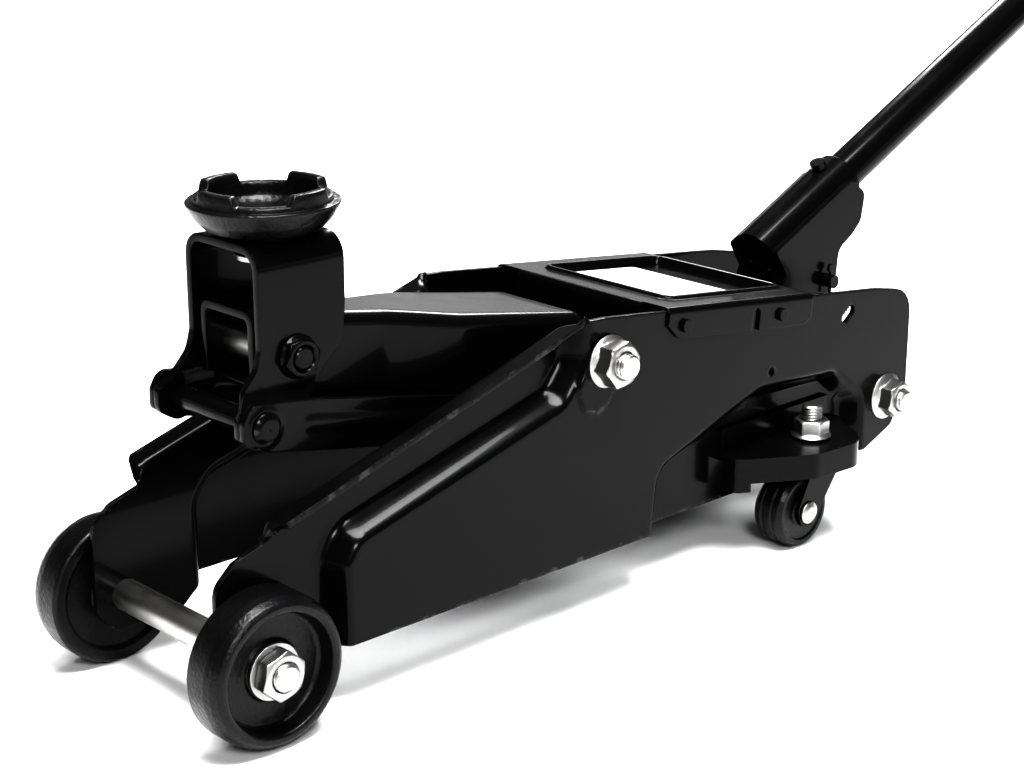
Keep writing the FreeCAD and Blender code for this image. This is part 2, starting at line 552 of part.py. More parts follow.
def cover_level():
    """The cover drawn level at the height of its front edge, before it is tilted in place."""
    x0, x1 = COVER_X
    sheet = box(x0, x1, -COVER_HALF, COVER_HALF, cz, cz + COVER_T)
    outer = [(TRAY_X[0], -TRAY_HALF), (TRAY_X[1], -TRAY_HALF),
             (TRAY_X[1], TRAY_HALF), (TRAY_X[0], TRAY_HALF)]
    tray = prism_z(outer, cz - TRAY_DROP, cz + COVER_T, 5)
    room = prism_z(offset_outline(outer, -COVER_T), cz - TRAY_DROP + COVER_T, cz + 9, 3.5)
    rim = prism_z(offset_outline(outer, 2.5), cz, cz + 3.2, 7).cut(
        prism_z(offset_outline(outer, -COVER_T), cz - 9, cz + 9, 3.5))
    cover = fuse([sheet.cut(prism_z(outer, cz - 9, cz + 9, 5)), tray, rim]).cut(room)
    front_wall = box(x0, x0 + COVER_T, -TRAY_HALF, TRAY_HALF, FRONT_WALL_BOTTOM, cz + COVER_T)
    flap_outline = [(x0, cz + COVER_T), (x1, cz + COVER_T), (x1, cz - 16), (x0 + 12, cz - 16),
                    (x0, cz - 6)]
    flap = prism_y(flap_outline, PLATE_REAR_Y + 0.2, COVER_HALF, [0, 0, 3, 12, 6])
    for x in SCREW_X:
        flap = flap.cut(cyl_y((x, cz - SCREW_DROP), 2.05, 50, 80))
    flap = flap.cut(stadium_y((338, cz - 6), (338, cz - 20), 3.0, 50, 80))
    return fuse([cover, front_wall, flap, mirrored(flap)])


nodes["cover_plate"] = as_solid(tilted(cover_level(), COVER_TILT, COVER_PIVOT))
nodes["label_plate"] = tilted(
    prism_z([(TRAY_X[0] + 3, -TRAY_HALF + 3), (LABEL_END, -TRAY_HALF + 3),
             (LABEL_END, TRAY_HALF - 3), (TRAY_X[0] + 3, TRAY_HALF - 3)],
            cz - TRAY_DROP + COVER_T + 0.05, cz - TRAY_DROP + COVER_T + 0.65, [3, 18, 3, 3]),
    COVER_TILT, COVER_PIVOT)


def cover_screw(x, y0, y1):
    xz = (x, cz - SCREW_DROP)
    return tilted(fuse([cyl_y(xz, 1.9, y0, y1), cyl_y(xz, 3.6, COVER_HALF + 0.05, COVER_HALF + 2.2)]),
                  COVER_TILT, COVER_PIVOT)


screws = [cover_screw(x, PLATE_REAR_Y - 8, COVER_HALF + 1) for x in SCREW_X]
nodes["cover_screws"] = Part.makeCompound(screws + [mirrored(s) for s in screws])

# ---- rear casters ------------------------------------------------------------------------------
BRACKET_OUTLINE = [(322, 52.6), (322, 68), (362, 92.5), (396, 95), (408, 86), (418, 66),
                   (425, 60), (425, 52.6)]
BRACKET_RADII = [0, 5, 12, 14, 12, 20, 4, 0]


def caster_bracket():
    z_top = BRACKET_TOP
    t = PLATE_T
    body = prism_z(BRACKET_OUTLINE, 45, z_top, BRACKET_RADII)
    lip = prism_z([(322, 52.6), (322, 68), (330, 73), (338, 60), (334, 52.6)], 40, 50,
                  [0, 4, 2, 2, 0])
    inner = [(322 + t, 40), (322 + t, 66.3), (362.9, 89.5), (395, 91.9), (405.5, 84),
             (415.3, 64.5), (422, 58.3), (422, 40)]
    room = prism_z(inner, 30, z_top - t, [0, 3, 9, 11, 9, 17, 2, 0])
    weld_flange = box(324, 417, 52.6, 55.6, z_top - 1, 74)
    body = fuse([body, lip.fuse(box(322, 334, 52.6, 60, 44, 46))]).cut(room)
    bearing = cyl_z(STEM, 12.0, 53.4, z_top - 1)
    body = body.cut(box(300, 450, 40, 60, 30, z_top - t)).fuse(weld_flange).fuse(bearing)
    return as_solid(body.cut(cyl_z(STEM, STEM_R + RUN, 30, 90)))


def caster_parts():
    wheel_at = (STEM[0] - CASTER_TRAIL, CASTER_R)
    y = STEM[1]
    half = CASTER_WIDTH / 2
    leg_in, leg_out = half + 0.7, half + 3.2
    parts = {"caster_bracket": caster_bracket()}
    leg = [(wheel_at[0] - 9, 24), (wheel_at[0] - 5, 12.5), (wheel_at[0] + 5, 12.5),
           (wheel_at[0] + 9.5, 20), (STEM[0] + 14, 48), (STEM[0] + 14, 53), (STEM[0] - 13, 53),
           (STEM[0] - 13, 47)]
    legs = [prism_y(leg, y0, y1, [6, 7, 7, 6, 5, 0, 0, 5])
            for y0, y1 in ((y + leg_in, y + leg_out), (y - leg_out, y - leg_in))]
    plate = prism_z([(STEM[0] - 13, y - leg_out), (STEM[0] + 14, y - leg_out),
                     (STEM[0] + 14, y + leg_out), (STEM[0] - 13, y + leg_out)], 50.2, 53)
    fork = fuse(legs + [plate]).cut(cyl_z(STEM, STEM_R + RUN, 40, 60))
    parts["caster_fork"] = as_solid(fork.cut(cyl_y(wheel_at, CASTER_AXLE_R + 0.02, 30, 120)))
    parts["caster_axle"] = fuse([cyl_y(wheel_at, CASTER_AXLE_R, y - leg_out - 0.5, y + leg_out + 0.5),
                                 cyl_y(wheel_at, 6.6, y + leg_out + 0.05, y + leg_out + 2.6),
                                 cyl_y(wheel_at, 6.6, y - leg_out - 2.6, y - leg_out - 0.05)])
    parts["caster_wheel"] = revolve_y(wheel_at, [
        (CASTER_AXLE_R + RUN, y - half), (8, y - half), (9, y - half + 1), (17, y - half + 1),
        (18, y - half), (19.6, y - half), (CASTER_R, y - half + 3), (CASTER_R, y + half - 3),
        (19.6, y + half), (18, y + half), (17, y + half - 1), (9, y + half - 1), (8, y + half),
        (CASTER_AXLE_R + RUN, y + half)])
    return parts


for name, shape in caster_parts().items():
    nodes[name + "_right"] = shape
    nodes[name + "_left"] = mirrored(shape)
stem = fuse([cyl_z(STEM, STEM_R, 46, 79.5), cyl_z(STEM, 9.0, 45.4, 49.8)])
stem_nut = fuse([prism_z(hexagon(STEM[0], STEM[1], 18, 8), BRACKET_TOP + 1.5, BRACKET_TOP + 11.5),
                 cyl_z(STEM, 11.5, BRACKET_TOP + 0.05, BRACKET_TOP + 3)])
stem_nut = as_solid(stem_nut.cut(cyl_z(STEM, STEM_R + RUN, 40, 90)))
nodes["caster_stems"] = Part.makeCompound([stem, mirrored(stem)])
nodes["caster_nuts"] = Part.makeCompound([stem_nut, mirrored(stem_nut)])

# ---- hydraulic unit ----------------------------------------------------------------------------
ram_face_x = HORN[0] + ROLLER_R + RAM_GAP
nodes["ram"] = fuse([cyl_x(0, RAM_Z, RAM_R, ram_face_x + 10, 330),
                     box(ram_face_x, ram_face_x + 10, -14, 14, 84, 113)])
tank = cyl_x(0, RAM_Z, TANK_R, TANK_X[0] + 8, TANK_X[1])
tank = tank.cut(cyl_x(0, RAM_Z, TANK_R - 2.5, TANK_X[0] - 1, TANK_X[1] + 1))
gland = cyl_x(0, RAM_Z, TANK_R + 1, TANK_X[0], TANK_X[0] + 7.95).fuse(
    cyl_x(0, RAM_Z, TANK_R - 2.55, TANK_X[0], TANK_X[0] + 14))
nodes["ram_gland"] = as_solid(gland.cut(cyl_x(0, RAM_Z, RAM_R + RUN, 200, 400)))
barrel = cyl_x(0, RAM_Z, RAM_R + 4, TANK_X[0] + 14.05, TANK_X[1] - 0.05).cut(
    cyl_x(0, RAM_Z, RAM_R + RUN, 200, TANK_X[1] - 8))
nodes["ram_barrel"] = barrel
plug_at = (330.0, 0.0)
nodes["filler_plug"] = fuse([cyl_z(plug_at, 5.0, RAM_Z + TANK_R - 3, RAM_Z + TANK_R + 4),
                             cyl_z(plug_at, 7.5, RAM_Z + TANK_R + 0.4, RAM_Z + TANK_R + 4)])
nodes["oil_tank"] = as_solid(tank.cut(cyl_z(plug_at, 5.0 + RUN, RAM_Z, RAM_Z + 40)))

block = box(BLOCK_X[0] + 0.05, BLOCK_X[1], -BLOCK_HALF, BLOCK_HALF, 50, 92)
block = block.fuse(box(424, 436, -BLOCK_HALF, BLOCK_HALF, 92, 100))
block = block.fuse(cyl_x(0, RAM_Z, TANK_R, BLOCK_X[0] + 0.05, BLOCK_X[0] + 5.5))
ears = both(lambda a, b: prism_y([(408, 90), (408, 118), (424, 130), (438, 118), (440, 80),
                                  (425, 80)], a, b, [4, 10, 10, 10, 3, 3]), 20.0, 28.0)
block = block.fuse(ears).fuse(cyl_z((PLUNGER_X, 0), 11.0, 90, 96))
block = block.cut(cyl_z((PLUNGER_X, 0), PLUNGER_R + RUN, 56, 120))
block = block.cut(both(lambda a, b: cyl_y(REAR_BOLT, REAR_BOLT_R + RUN, a, b),
                       REAR_BOLT_IN_Y - 0.3, 60))
block = block.cut(cyl_y(SOCKET_PIVOT, SOCKET_PIN_R + RUN, -60, 60))
VALVE = (16.0, 82.0)         # y and z of the release valve
block = block.cut(cyl_x(VALVE[0], VALVE[1], 4.5 + RUN, 455, 500))
nodes["valve_block"] = as_solid(block)
nodes["release_valve"] = fuse([cyl_x(VALVE[0], VALVE[1], 4.5, 456, 482),
                               cyl_x(VALVE[0], VALVE[1], 6.5, 476.4, 480),
                               box(482, 490, VALVE[0] - 1.5, VALVE[0] + 1.5, VALVE[1] - 6,
                                   VALVE[1] + 6)])
plunger_top = PUMP_ROLLER[1] - PUMP_ROLLER_R - PUMP_GAP
nodes["pump_plunger"] = fuse([cyl_z((PLUNGER_X, 0), PLUNGER_R, 62, plunger_top - 4),
                              cyl_z((PLUNGER_X, 0), 11.5, plunger_top - 4, plunger_top)])
nodes["pump_spring"] = coil(8.8, 1.1, 4.4, plunger_top - 4 - 96 - 2.6, (PLUNGER_X, 0, 96 + 1.3))
nodes["rear_bolt"] = both(lambda a, b: fuse([cyl_y(REAR_BOLT, REAR_BOLT_R, a, PLATE_REAR_Y),
                                             cyl_y(REAR_BOLT, REAR_THREAD_R, a, b)]),
                          REAR_BOLT_IN_Y, PLATE_REAR_Y + 16.0)
nodes["rear_nuts"] = both(lambda a, b: nut_y(REAR_BOLT, 20, REAR_THREAD_R + RUN, a, b, 14.0, 20.0),
                          PLATE_REAR_Y + 0.05, PLATE_REAR_Y + 12)
nodes["rear_spacers"] = both(lambda a, b: ring_y(REAR_BOLT, 11, REAR_BOLT_R + RUN, a, b),
                             BLOCK_HALF + 0.05, PLATE_REAR_Y - PLATE_T - 0.05)

# ---- handle socket -----------------------------------------------------------------------------
SOCKET_R = 15.6
CHEEK_IN, CHEEK_OUT = 14.6, 18.2
ux, uz = math.cos(math.radians(HANDLE_ANGLE)), math.sin(math.radians(HANDLE_ANGLE))


def along(distance, across=0.0):
    """An (x, z) point on the handle axis, distance up from its lower end."""
    return (SOCKET_END[0] + ux * distance - uz * across, SOCKET_END[1] + uz * distance + ux * across)


def handle_cyl(r, start, end):
    x, z = along(start)
    return Part.makeCylinder(r, end - start, V(x, 0, z), V(ux, 0, uz))


socket_tube = handle_cyl(SOCKET_R, 0, SOCKET_LENGTH)
cheek_outline = [along(0, 6), along(SOCKET_LENGTH - 8, 6), along(SOCKET_LENGTH, -8),
                 along(SOCKET_LENGTH - 10, -22), along(SOCKET_LENGTH - 20, -25), (469, 146),
                 (467, 124), (458, 119.5), (440, 122), (432, 108), (424, 105.5), (414, 110),
                 (412, 120), along(2, -12)]
cheek_radii = [2, 2, 6, 8, 8, 10, 8, 6, 10, 8, 8, 8, 8, 2]
cheek = prism_y(cheek_outline, CHEEK_IN - 1.5, CHEEK_OUT, cheek_radii)
socket = fuse([socket_tube, cheek, mirrored(cheek)])
socket = socket.cut(handle_cyl(HANDLE_R + 1.0, -40, SOCKET_LENGTH + 40))
slot_half = CHEEK_IN - 1.5
lower_room = prism_y([along(-30, 0), along(SOCKET_LENGTH + 30, 0), along(SOCKET_LENGTH + 30, -80),
                      along(-30, -80)], -slot_half + 1.6, slot_half - 1.6)
socket = socket.cut(lower_room)
socket = socket.cut(cyl_y(SOCKET_PIVOT, SOCKET_PIN_R + RUN, -60, 60)).cut(
    cyl_y(PUMP_ROLLER, PUMP_PIN_R + 0.02, -60, 60))
clamp_at = along(SOCKET_LENGTH - 14, 0)
socket = socket.cut(Part.makeCylinder(3.0 + RUN, 30, V(clamp_at[0], 0, clamp_at[1]), V(-uz, 0, ux)))
nodes["handle_socket"] = as_solid(socket)
nodes["clamp_screw"] = fuse([
    Part.makeCylinder(3.0, 5.6, V(clamp_at[0] - uz * 13.2, 0, clamp_at[1] + ux * 13.2),
                      V(-uz, 0, ux)),
    Part.makeCylinder(4.6, 4.0, V(clamp_at[0] - uz * 16.4, 0, clamp_at[1] + ux * 16.4),
                      V(-uz, 0, ux))])


def socket_bolt(y0, y1):
    return fuse([cyl_y(SOCKET_PIVOT, SOCKET_PIN_R, y0, y1),
                 prism_y(hexagon(SOCKET_PIVOT[0], SOCKET_PIVOT[1], 15, 5), 28.05, 34)])


nodes["socket_bolts"] = both(socket_bolt, 13.0, 30.0)
nodes["pump_roller_pin"] = cyl_y(PUMP_ROLLER, PUMP_PIN_R, -25.5, 25.5)
nodes["pump_roller"] = ring_y(PUMP_ROLLER, PUMP_ROLLER_R, PUMP_PIN_R + RUN, -9.5, 9.5)
cotter = fuse([Part.makeCylinder(0.9, 15, V(PUMP_ROLLER[0], 22, PUMP_ROLLER[1] - 8), V(0, 0, 1)),
               cyl_y((PUMP_ROLLER[0], PUMP_ROLLER[1] + 8), 2.4, 21.1, 22.9)])
pin_hole = cyl_z((PUMP_ROLLER[0], 22), 1.0, 110, 150)
nodes["pump_roller_pin"] = as_solid(nodes["pump_roller_pin"].cut(pin_hole).cut(mirrored(pin_hole)))
nodes["cotter_pins"] = Part.makeCompound([cotter, mirrored(cotter)])

# ---- handle ------------------------------------------------------------------------------------
JOINT_AT = SOCKET_LENGTH + 0.48 * HANDLE_LENGTH
HANDLE_END = SOCKET_LENGTH + HANDLE_LENGTH
GRIP_START = HANDLE_END - 130.0
lower = handle_cyl(HANDLE_R, 1.5, JOINT_AT).cut(
    handle_cyl(HANDLE_R - HANDLE_WALL, -2, JOINT_AT + 2))
upper = handle_cyl(HANDLE_R, JOINT_AT + 0.1, HANDLE_END - 2).cut(
    handle_cyl(HANDLE_R - HANDLE_WALL, JOINT_AT + 45, HANDLE_END + 2))
upper = upper.fuse(handle_cyl(HANDLE_R - HANDLE_WALL - RUN, JOINT_AT - 60, JOINT_AT + 46).cut(
    handle_cyl(HANDLE_R - 2 * HANDLE_WALL, JOINT_AT - 61, JOINT_AT + 50)))
button_at = along(JOINT_AT - 30)
button_hole = Part.makeCylinder(3.5, 40, V(button_at[0], 0, button_at[1]), V(0, -1, 0))
nodes["handle_lower"] = as_solid(lower.cut(button_hole))
nodes["handle_upper"] = as_solid(upper.cut(button_hole))
nodes["handle_button"] = Part.makeCylinder(3.4, 5.6, V(button_at[0], -7.6, button_at[1]), V(0, -1, 0))
grip = handle_cyl(HANDLE_R + 3.0, GRIP_START, HANDLE_END).cut(
    handle_cyl(HANDLE_R + RUN, GRIP_START - 1, HANDLE_END - 1.9))
nodes["handle_grip"] = grip

# ---- return springs ----------------------------------------------------------------------------
def return_spring(y):
    """A tension spring from the arm's peg back to a peg on the side plate."""
    gap = 1.4
    span = SPRING_ANCHOR[0] - SPRING_PEG[0] - 2 * (3.5 + gap)
    spring = coil(5.0, 1.0, 3.4, span, (0, 0, 0))
    spring.rotate(V(0, 0, 0), V(0, 1, 0), 90)
    spring.translate(V(SPRING_PEG[0] + 3.5 + gap, y, SPRING_PEG[1]))
    return spring


nodes["return_springs"] = Part.makeCompound([return_spring(SPRING_Y), return_spring(-SPRING_Y)])
nodes["spring_anchors"] = both(lambda a, b: cyl_y(SPRING_ANCHOR, 3.5, a, b), SPRING_Y - 4,
                               PLATE_REAR_Y - PLATE_T - 0.05)

# ---- export ------------------------------------------------------------------------------------
bounds = Part.makeCompound(list(nodes.values())).BoundBox
shift = V(-(bounds.XMin + bounds.XMax) / 2, 0, 0)
for name, shape in nodes.items():
    moved = shape.copy()
    moved.translate(shift)
    moved.exportStep(f"parts/{name}.step")
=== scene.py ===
import json
import math

import bmesh
import bpy
import numpy as np
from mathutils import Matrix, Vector


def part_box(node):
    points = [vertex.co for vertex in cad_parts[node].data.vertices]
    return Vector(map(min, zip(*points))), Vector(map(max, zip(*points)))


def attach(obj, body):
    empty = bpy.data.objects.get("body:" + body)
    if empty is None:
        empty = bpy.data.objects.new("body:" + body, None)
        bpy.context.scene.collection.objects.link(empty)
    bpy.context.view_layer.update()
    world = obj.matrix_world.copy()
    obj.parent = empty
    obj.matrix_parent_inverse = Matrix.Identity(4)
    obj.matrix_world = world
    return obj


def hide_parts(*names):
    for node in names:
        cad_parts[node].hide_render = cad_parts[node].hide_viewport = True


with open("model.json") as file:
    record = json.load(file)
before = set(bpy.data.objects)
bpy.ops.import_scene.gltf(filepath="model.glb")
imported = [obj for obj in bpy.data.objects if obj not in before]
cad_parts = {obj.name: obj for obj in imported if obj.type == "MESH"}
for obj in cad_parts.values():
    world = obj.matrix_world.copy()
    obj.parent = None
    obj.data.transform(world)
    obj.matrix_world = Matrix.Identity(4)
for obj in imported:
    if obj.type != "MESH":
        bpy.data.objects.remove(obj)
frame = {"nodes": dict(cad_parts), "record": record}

bl_info = {
    "name": "Trolley jack",
    "version": (1, 0, 0),
    "blender": (4, 5, 0),
    "location": "View3D > Sidebar > Jack",
    "description": "Builds the visible pieces, finishes and stage of a hydraulic trolley jack",
    "category": "Object",
}

# Shapes are worked out in millimetres with x = 0 at the front axle, +Y the jack's right-hand side
# and z = 0 on the floor. MM and AXLE_X carry them to the frame.
MM = 0.001
axle_low, axle_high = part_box("front_axle")
AXLE_X = (axle_low[0] + axle_high[0]) / 2
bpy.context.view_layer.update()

AXLE = (0.0, 37.5)
ARM_PIVOT = (220.0, 138.0)
YOKE_BOLT = (51.5, 167.0)
YOKE_PIN = (24.5, 140.3)
LINK_PIVOT = (193.0, 111.3)
REAR_BOLT = (460.0, 66.0)
STEM = (383.0, 71.0)
YOKE_Y = 28.5
YOKE_TOP = 221.5
SADDLE_X = 56.0
SEAT_Z = 221.8
RIM_Z = 236.6
FLOOR_Z = 228.6
CASTER_WHEEL = (367.0, 21.5)
SOCKET_END = (413.0, 148.0)
HANDLE_ANGLE = math.radians(25.8)
SIDES = {"left": -1.0, "right": 1.0}


# ---- sizes and colours that a user may change --------------------------------------------------
class JackSizes(bpy.types.PropertyGroup):
    """Roundings and fine detail of the pieces."""
    press_blend: bpy.props.FloatProperty(
        name="Press rounding", description="How softly the pressed panels turn into the side plates",
        default=3.2 * MM, min=0.5 * MM, max=8 * MM, unit="LENGTH")
    sheet_edge: bpy.props.FloatProperty(
        name="Sheet edge", description="Rounding of the cut edges of sheet steel",
        default=0.6 * MM, min=0.1 * MM, max=1.2 * MM, unit="LENGTH")
    casting_bumps: bpy.props.FloatProperty(
        name="Casting bumps", description="Height of the uneven skin of the cast pieces",
        default=0.12 * MM, min=0.0, max=0.5 * MM, unit="LENGTH")
    grip_grooves: bpy.props.IntProperty(
        name="Grip grooves", description="Grooves round the rubber handle grip",
        default=16, min=4, max=40)


class JackColours(bpy.types.PropertyGroup):
    """Base colours of the finishes."""
    enamel: bpy.props.FloatVectorProperty(
        name="Enamel", description="Gloss enamel of the pressed steel",
        subtype="COLOR", size=3, default=(0.0045, 0.0045, 0.0049), min=0.0, max=1.0)
    casting: bpy.props.FloatVectorProperty(
        name="Casting", description="Painted castings", subtype="COLOR", size=3,
        default=(0.006, 0.006, 0.0064), min=0.0, max=1.0)
    zinc: bpy.props.FloatVectorProperty(
        name="Zinc", description="Zinc plate of the nuts and washers", subtype="COLOR", size=3,
        default=(0.37, 0.375, 0.38), min=0.0, max=1.0)
    steel: bpy.props.FloatVectorProperty(
        name="Steel", description="Bare turned steel", subtype="COLOR", size=3,
        default=(0.48, 0.475, 0.465), min=0.0, max=1.0)
    label: bpy.props.FloatVectorProperty(
        name="Label", description="Plain printed film", subtype="COLOR", size=3,
        default=(0.66, 0.66, 0.65), min=0.0, max=1.0)
    grip: bpy.props.FloatVectorProperty(
        name="Grip", description="Moulded rubber", subtype="COLOR", size=3,
        default=(0.018, 0.018, 0.019), min=0.0, max=1.0)
    floor: bpy.props.FloatVectorProperty(
        name="Floor", description="Studio floor", subtype="COLOR", size=3,
        default=(0.90, 0.90, 0.90), min=0.0, max=1.0)


# ---- shader tools ------------------------------------------------------------------------------
class Value:
    """A number socket; arithmetic on it adds Math nodes."""

    def __init__(self, tree, socket):
        self.tree, self.socket = tree, socket

    def maths(self, operation, first, second):
        """A Math node on two numbers."""
        return self.tree.add("ShaderNodeMath", {"operation": operation},
                             {0: first, 1: second}).value(0)

    def __add__(self, other):
        return self.maths("ADD", self, other)

    def __mul__(self, other):
        return self.maths("MULTIPLY", self, other)

    def __rsub__(self, other):
        return self.maths("SUBTRACT", other, self)

    __radd__, __rmul__ = __add__, __mul__

    def ramp(self, start, end):
        """0 below start, 1 above end and a smooth rise between."""
        return self.tree.add("ShaderNodeMapRange", {"interpolation_type": "SMOOTHSTEP"},
                             {0: self, 1: start, 2: end}).value(0)


class Node:
    """One shader node, whose outputs are picked by name or place."""

    def __init__(self, tree, node):
        self.tree, self.node = tree, node

    def out(self, name):
        """The output socket itself."""
        return self.node.outputs[name]

    def value(self, name):
        """An output as a number to reckon with."""
        return Value(self.tree, self.node.outputs[name])


class Finish:
    """A material with one Principled shader, and one method that adds any other node."""

    def __init__(self, name, **constants):
        self.material = bpy.data.materials.new(name)
        self.material.use_nodes = True
        self.nodes = self.material.node_tree.nodes
        self.links = self.material.node_tree.links
        self.shader = self.nodes["Principled BSDF"]
        self.set(self.shader, {key.replace("_", " "): value for key, value in constants.items()})
        self.place = self.add("ShaderNodeTexCoord").out("Object")

    def add(self, kind, settings=None, inputs=None):
        """A new node with its settings and inputs."""
        node = self.nodes.new(kind)
        for key, value in (settings or {}).items():
            setattr(node, key, value)
        self.set(node, inputs or {})
        return Node(self, node)

    def set(self, node, inputs):
        """Each input linked to a socket, or given a number or a colour."""
        for key, value in inputs.items():
            value = value.socket if isinstance(value, Value) else value
            if isinstance(value, bpy.types.NodeSocket):
                self.links.new(value, node.inputs[key])
            elif isinstance(value, tuple) and len(value) == 3 and node.inputs[key].type == "RGBA":
                node.inputs[key].default_value = (*value, 1.0)
            else:
                node.inputs[key].default_value = value

    def stretched(self, x, y, z):
        """The object coordinates scaled along each axis."""
        return self.add("ShaderNodeMapping", None, {0: self.place, 3: (x, y, z)}).out(0)

    def noise(self, scale, detail=2.0, rough=0.5, place=None):
        """A noise between 0 and 1 over the object coordinates."""
        return self.add("ShaderNodeTexNoise", None,
                        {"Vector": place or self.place, "Scale": scale, "Detail": detail,
                         "Roughness": rough}).value("Fac")

    def blend(self, mask, first, second):
        """A colour between first where mask is 0 and second where it is 1."""
        return self.add("ShaderNodeMix", {"data_type": "RGBA"},
                        {0: mask, 6: first, 7: second}).out(2)

    def upward(self):
        """1 on faces that look up, 0 on the rest."""
        normal = self.add("ShaderNodeNewGeometry").out("Normal")
        return self.add("ShaderNodeSeparateXYZ", None, {0: normal}).value(2).ramp(0.55, 1.0)

    def edges(self):
        """1 on worn outer edges, 0 on flat faces and in corners."""
        return self.add("ShaderNodeNewGeometry").value("Pointiness").ramp(0.53, 0.62)

    def finish(self, colour=None, rough=None, height=None, depth=0.1, distance=0.0002,
               bevel=0.0, metallic=None):
        inputs = {}
        if colour is not None:
            inputs["Base Color"] = colour
        if rough is not None:
            inputs["Roughness"] = rough
        if metallic is not None:
            inputs["Metallic"] = metallic
        normal = None
        if bevel:
            normal = self.add("ShaderNodeBevel", {"samples": 4}, {"Radius": bevel}).out(0)
        if height is not None:
            bump = {"Height": height, "Strength": depth, "Distance": distance}
            if normal is not None:
                bump["Normal"] = normal
            normal = self.add("ShaderNodeBump", None, bump).out(0)
        if normal is not None:
            inputs["Normal"] = normal
        self.set(self.shader, inputs)
        return self.material


def enamel(colour, name="black_enamel", bevel=0.0007, wear=0.5):
    """Gloss enamel: slight orange peel, a film of dust on top faces, thin spots on the edges."""
    f = Finish(name, Coat_Weight=0.12, Coat_Roughness=0.04, Specular_IOR_Level=0.12)
    peel = f.noise(150.0, 2.0)
    cloud = f.noise(14.0, 5.0, 0.6)
    dust = f.upward() * cloud.ramp(0.35, 0.75) * 0.35
    worn = f.edges() * f.noise(120.0, 4.0).ramp(0.5, 0.7) * wear
    colour = f.blend(dust, tuple(colour), (0.022, 0.022, 0.022))
    colour = f.blend(worn, colour, (0.07, 0.07, 0.072))
    return f.finish(colour, 0.16 + 0.13 * cloud + 0.12 * dust + 0.2 * worn, peel, 0.10, 0.0003, bevel)


def casting(colour):
    """Painted casting: pitted skin, rubbed lighter on the edges."""
    f = Finish("black_casting", Coat_Weight=0.05, Coat_Roughness=0.15, Specular_IOR_Level=0.25)
    grain = f.noise(650.0, 3.0, 0.65)
    pits = f.add("ShaderNodeTexVoronoi", None, {"Vector": f.place, "Scale": 420.0}).value("Distance")
    cloud = f.noise(30.0, 4.0)
    worn = f.edges() * f.noise(200.0, 4.0).ramp(0.42, 0.62) * 0.6
    colour = f.blend(cloud.ramp(0.35, 0.7), tuple(colour), tuple(1.6 * c for c in colour))
    colour = f.blend(worn, colour, (0.09, 0.088, 0.085))
    return f.finish(colour, 0.22 + 0.16 * grain, grain + 0.5 * pits, 0.45, 0.0005, 0.0006)


def zinc(colour):
    """Bright zinc plate: faint blue and straw clouds, fine crystal grain."""
    f = Finish("zinc_plate", Metallic=1.0)
    cloud = f.noise(60.0, 4.0, 0.6)
    grain = f.noise(1400.0, 2.0)
    colour = f.blend(cloud.ramp(0.3, 0.7), tuple(colour),
                     (colour[0] * 0.92, colour[1] * 0.90, colour[2] * 0.86))
    return f.finish(colour, 0.24 + 0.22 * cloud + 0.06 * grain, grain, 0.08, 0.0002, 0.0004)


def turned_steel(colour, name="turned_steel", rings=(1.0, 60.0, 1.0), rough=0.24):
    """Bare steel off the lathe: fine rings round the part and a thin stain."""
    f = Finish(name, Metallic=1.0)
    lines = f.noise(45.0, 3.0, 0.7, f.stretched(*rings))
    stain = f.noise(38.0, 5.0, 0.65).ramp(0.45, 0.8)
    colour = f.blend(stain * 0.6, tuple(colour), tuple(0.55 * c for c in colour))
    return f.finish(colour, rough + 0.18 * lines + 0.12 * stain, lines, 0.12, 0.0001, 0.0004)


def spring_steel():
    """Oiled spring wire: dark, with drawn streaks and oil that pools glossier."""
    f = Finish("spring_wire", Metallic=1.0)
    streak = f.noise(300.0, 3.0)
    oil = f.noise(25.0, 3.0).ramp(0.4, 0.6)
    colour = f.blend(streak, (0.10, 0.10, 0.105), (0.24, 0.235, 0.23))
    return f.finish(colour, 0.42 - 0.16 * oil, streak, 0.15, 0.0001)


def label_film(colour):
    """Plain white film: faint paper grain, slightly yellowed clouds and a soft sheen."""
    f = Finish("label_film", Coat_Weight=0.25, Coat_Roughness=0.25)
    cloud = f.noise(16.0, 4.0)
    grain = f.noise(1800.0, 2.0)
    colour = f.blend(cloud.ramp(0.4, 0.8) * 0.35, tuple(colour), (0.70, 0.69, 0.64))
    return f.finish(colour, 0.42 + 0.15 * grain, grain, 0.05, 0.0001)


def moulded_rubber(colour):
    """Moulded rubber: fine matt grain and dusty bloom."""
    f = Finish("grip_rubber", Specular_IOR_Level=0.35)
    grain = f.noise(1500.0, 3.0, 0.7)
    bloom = f.noise(22.0, 5.0).ramp(0.4, 0.8)
    colour = f.blend(bloom * 0.5, tuple(colour), (0.05, 0.05, 0.05))
    return f.finish(colour, 0.62 + 0.25 * grain, grain, 0.35, 0.0002)


def studio_floor(colour):
    """Pale studio floor with the faintest mottling."""
    f = Finish("studio_floor", Specular_IOR_Level=0.2)
    cloud = f.noise(3.0, 3.0)
    colour = f.blend(cloud * 0.2, tuple(colour), tuple(0.97 * c for c in colour))
    return f.finish(colour, 0.75 + 0.1 * cloud)


FINISHES = {}


def prepare_finishes(colours):
    """Every finish made once, under the slot name of the record or a name of its own."""
    FINISHES.update(
        black_paint=enamel(colours.enamel),
        plain_paint=enamel(colours.enamel, "black_enamel_plain", wear=0.0),
        cast_black=casting(colours.casting),
        zinc=zinc(colours.zinc),
        steel=turned_steel(colours.steel),
        spring_steel=spring_steel(),
        label_white=label_film(colours.label),
        grip_rubber=moulded_rubber(colours.grip),
        ground_steel=turned_steel((0.66, 0.66, 0.65), "ground_steel", (60.0, 1.0, 1.0), 0.10))


